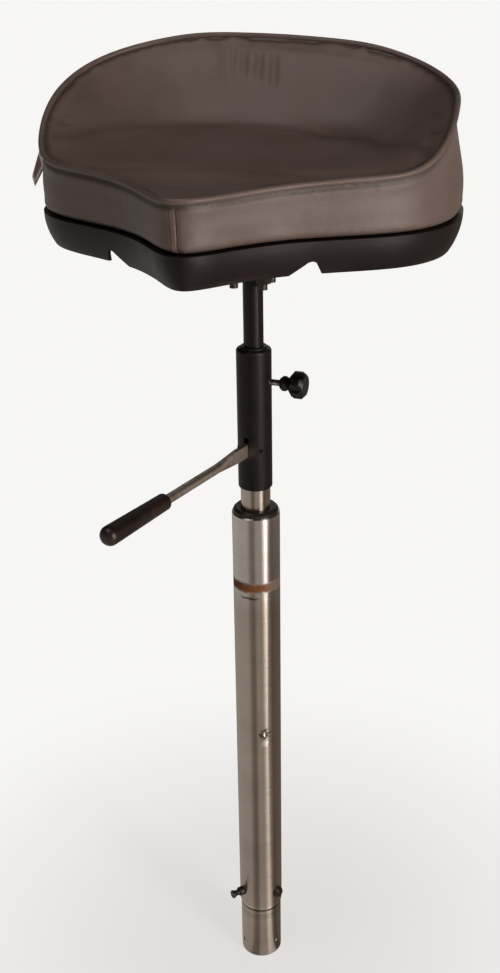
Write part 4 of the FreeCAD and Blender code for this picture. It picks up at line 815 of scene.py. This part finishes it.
ribbon.data.materials.clear()
ribbon.data.materials.append(woven_ribbon())
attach(ribbon, "seat")
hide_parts("seam_tag")


# Studio: a pale floor under the spigot, a tall soft lamp to the right of the lens, and weak fills.
# What metal sees round the pole is banded, as by the pale and dark cards of a studio.
FLOOR_LEVEL = cad_low.z - 0.0005
FLOOR_SIDE = 14.0
SHADOW_NEAR, SHADOW_FAR = 0.03, 0.6
VIEW_YAW = math.radians(17)
AIM = Vector((0, 0, 0.62))
SURROUND = [(0.00, "#b8b3af"), (0.125, "#b4afaa"), (0.16, "#80766e"), (0.215, "#746a62"),
            (0.235, "#aca6a0"), (0.285, "#b0aaa4"), (0.305, "#9c968f"), (0.325, "#a6a09a"),
            (0.345, "#cbc6c1"), (0.39, "#c7c2bd"), (0.415, "#61564e"), (0.465, "#5b5048"),
            (0.50, "#746a62"), (0.57, "#776d65"), (0.66, "#7d736b"), (0.80, "#61574f"),
            (0.84, "#b8b3af")]


def surroundings(tree, direction):
    """The tone that shiny surfaces see, by the direction round the pole."""
    turned = add(tree, "Mapping", {"Vector": direction, "Rotation": (0, 0, -VIEW_YAW)},
                 vector_type="POINT")
    spin = add(tree, "TexGradient", {"Vector": turned.outputs["Vector"]}, gradient_type="RADIAL")
    ramp = add(tree, "ValToRGB", {"Fac": spin.outputs["Fac"]}, stops=SURROUND)
    return ramp.outputs["Color"]


bpy.ops.mesh.primitive_plane_add(size=FLOOR_SIDE, location=(0, 0, FLOOR_LEVEL))
floor = bpy.context.object
floor.name = "studio_floor"
paper, tree, shader, place = new_finish("seamless_paper", "#efedea", 0.0, 0.9)
mottle = add(tree, "TexNoise", {"Vector": place, "Scale": PER_MM / 900}).outputs["Fac"]
tone = add(tree, "MixRGB", {"Fac": mottle, "Color1": "#edebe8", "Color2": "#f2f0ed"})
tree.links.new(tone.outputs["Color"], shader.inputs["Base Color"])
path = add(tree, "LightPath")
foot_reach = add(tree, "VectorMath", {0: place, 1: (0, 0, FLOOR_LEVEL)}, operation="DISTANCE")
away_share = add(tree, "MapRange", {"Value": foot_reach.outputs["Value"], "From Min": SHADOW_NEAR,
                                    "From Max": SHADOW_FAR, "To Min": 0.68, "To Max": 1.0},
                 interpolation_type="SMOOTHSTEP")
glow = add(tree, "Emission", {"Color": "#f7f6f4", "Strength": 1.0})
fading = add(tree, "MixShader", {0: away_share.outputs["Result"], 1: shader.outputs["BSDF"],
                                 2: glow.outputs["Emission"]})
shown = add(tree, "MixShader", {0: path.outputs["Is Camera Ray"], 1: shader.outputs["BSDF"],
                                2: fading.outputs["Shader"]})
seen = add(tree, "Emission", {"Color": surroundings(tree, place), "Strength": 1.0})
choice = add(tree, "MixShader", {0: path.outputs["Is Glossy Ray"], 1: shown.outputs["Shader"],
                                 2: seen.outputs["Emission"]})
tree.links.new(choice.outputs["Shader"], tree.nodes["Material Output"].inputs["Surface"])
floor.data.materials.append(paper)

world = bpy.data.worlds.new("studio")
bpy.context.scene.world = world
world.use_nodes = True
tree = world.node_tree
tree.nodes.clear()
direction = add(tree, "TexCoord").outputs["Generated"]
up = add(tree, "SeparateXYZ", {"Vector": direction}).outputs["Z"]
soft = add(tree, "ValToRGB", {"Fac": up}, stops=[(0.0, "#77726e"), (0.3, "#544f4b"), (1.0, "#3a3633")])
soft_light = add(tree, "Background", {"Color": soft.outputs["Color"], "Strength": 0.7})
backdrop = add(tree, "Background", {"Color": "#f7f6f4", "Strength": 1.0})
ceiling = add(tree, "ValToRGB", {"Fac": up},
              stops=[(0.0, "#8f857c"), (0.12, "#6e665f"), (0.3, "#2c2724"), (1.0, "#1d1917")])
cards = add(tree, "Background", {"Color": ceiling.outputs["Color"], "Strength": 1.0})
path = add(tree, "LightPath")
shiny = add(tree, "MixShader", {0: path.outputs["Is Glossy Ray"], 1: soft_light.outputs["Background"],
                                2: cards.outputs["Background"]})
shown = add(tree, "MixShader", {0: path.outputs["Is Camera Ray"], 1: shiny.outputs["Shader"],
                                2: backdrop.outputs["Background"]})
add(tree, "OutputWorld", {"Surface": shown.outputs["Shader"]})


def lamp(name, yaw, pitch, distance, wide, high, power, code):
    """A soft lamp aimed at the sleeve, placed by its direction from the camera's side of the pole."""
    light = bpy.data.lights.new(name, "AREA")
    light.shape = "RECTANGLE"
    light.size = wide
    light.size_y = high
    light.energy = power
    light.color = linear(code)[:3]
    holder = bpy.data.objects.new(name, light)
    bpy.context.scene.collection.objects.link(holder)
    turn = VIEW_YAW + math.radians(yaw)
    lift = math.radians(pitch)
    back = Vector((math.sin(turn) * math.cos(lift), -math.cos(turn) * math.cos(lift), math.sin(lift)))
    holder.location = AIM + back * distance
    holder.rotation_euler = (-back).to_track_quat("-Z", "Y").to_euler()


lamp("key_lamp", 42, 6, 2.2, 0.6, 1.5, 33, "#fff6ee")
lamp("upper_left_fill", -50, 62, 2.4, 1.2, 1.2, 13, "#fbf4f0")
lamp("back_fill", 165, 14, 2.4, 1.4, 1.2, 4, "#f4f4f6")

# Camera: as far off, as high and as turned as the photograph's, which frames the pole nearly upright
FRAME_HIGH = 973
FOCAL_PIXELS = 1193.0
SENSOR_MM = 36.0
CAMERA_OFF = 1.0801
CAMERA_ASIDE = -0.0055
CAMERA_LEVEL = 1.016
CAMERA_PITCH = math.radians(24.38)
CAMERA_ROLL = math.radians(0.9)
lens = bpy.data.cameras.new("camera")
lens.sensor_width = SENSOR_MM
lens.lens = FOCAL_PIXELS / FRAME_HIGH * SENSOR_MM
camera = bpy.data.objects.new("camera", lens)
bpy.context.scene.collection.objects.link(camera)
aside = Vector((math.cos(VIEW_YAW), math.sin(VIEW_YAW), 0))
away = Vector((-math.sin(VIEW_YAW), math.cos(VIEW_YAW), 0))
camera.location = aside * CAMERA_ASIDE - away * CAMERA_OFF + Vector((0, 0, CAMERA_LEVEL))
look = away * math.cos(CAMERA_PITCH) - Vector((0, 0, math.sin(CAMERA_PITCH)))
camera.rotation_mode = "QUATERNION"
camera.rotation_quaternion = look.to_track_quat("-Z", "Y") @ Quaternion((0, 0, 1), -CAMERA_ROLL)
bpy.context.scene.camera = camera
bpy.context.scene.view_settings.view_transform = "Standard"
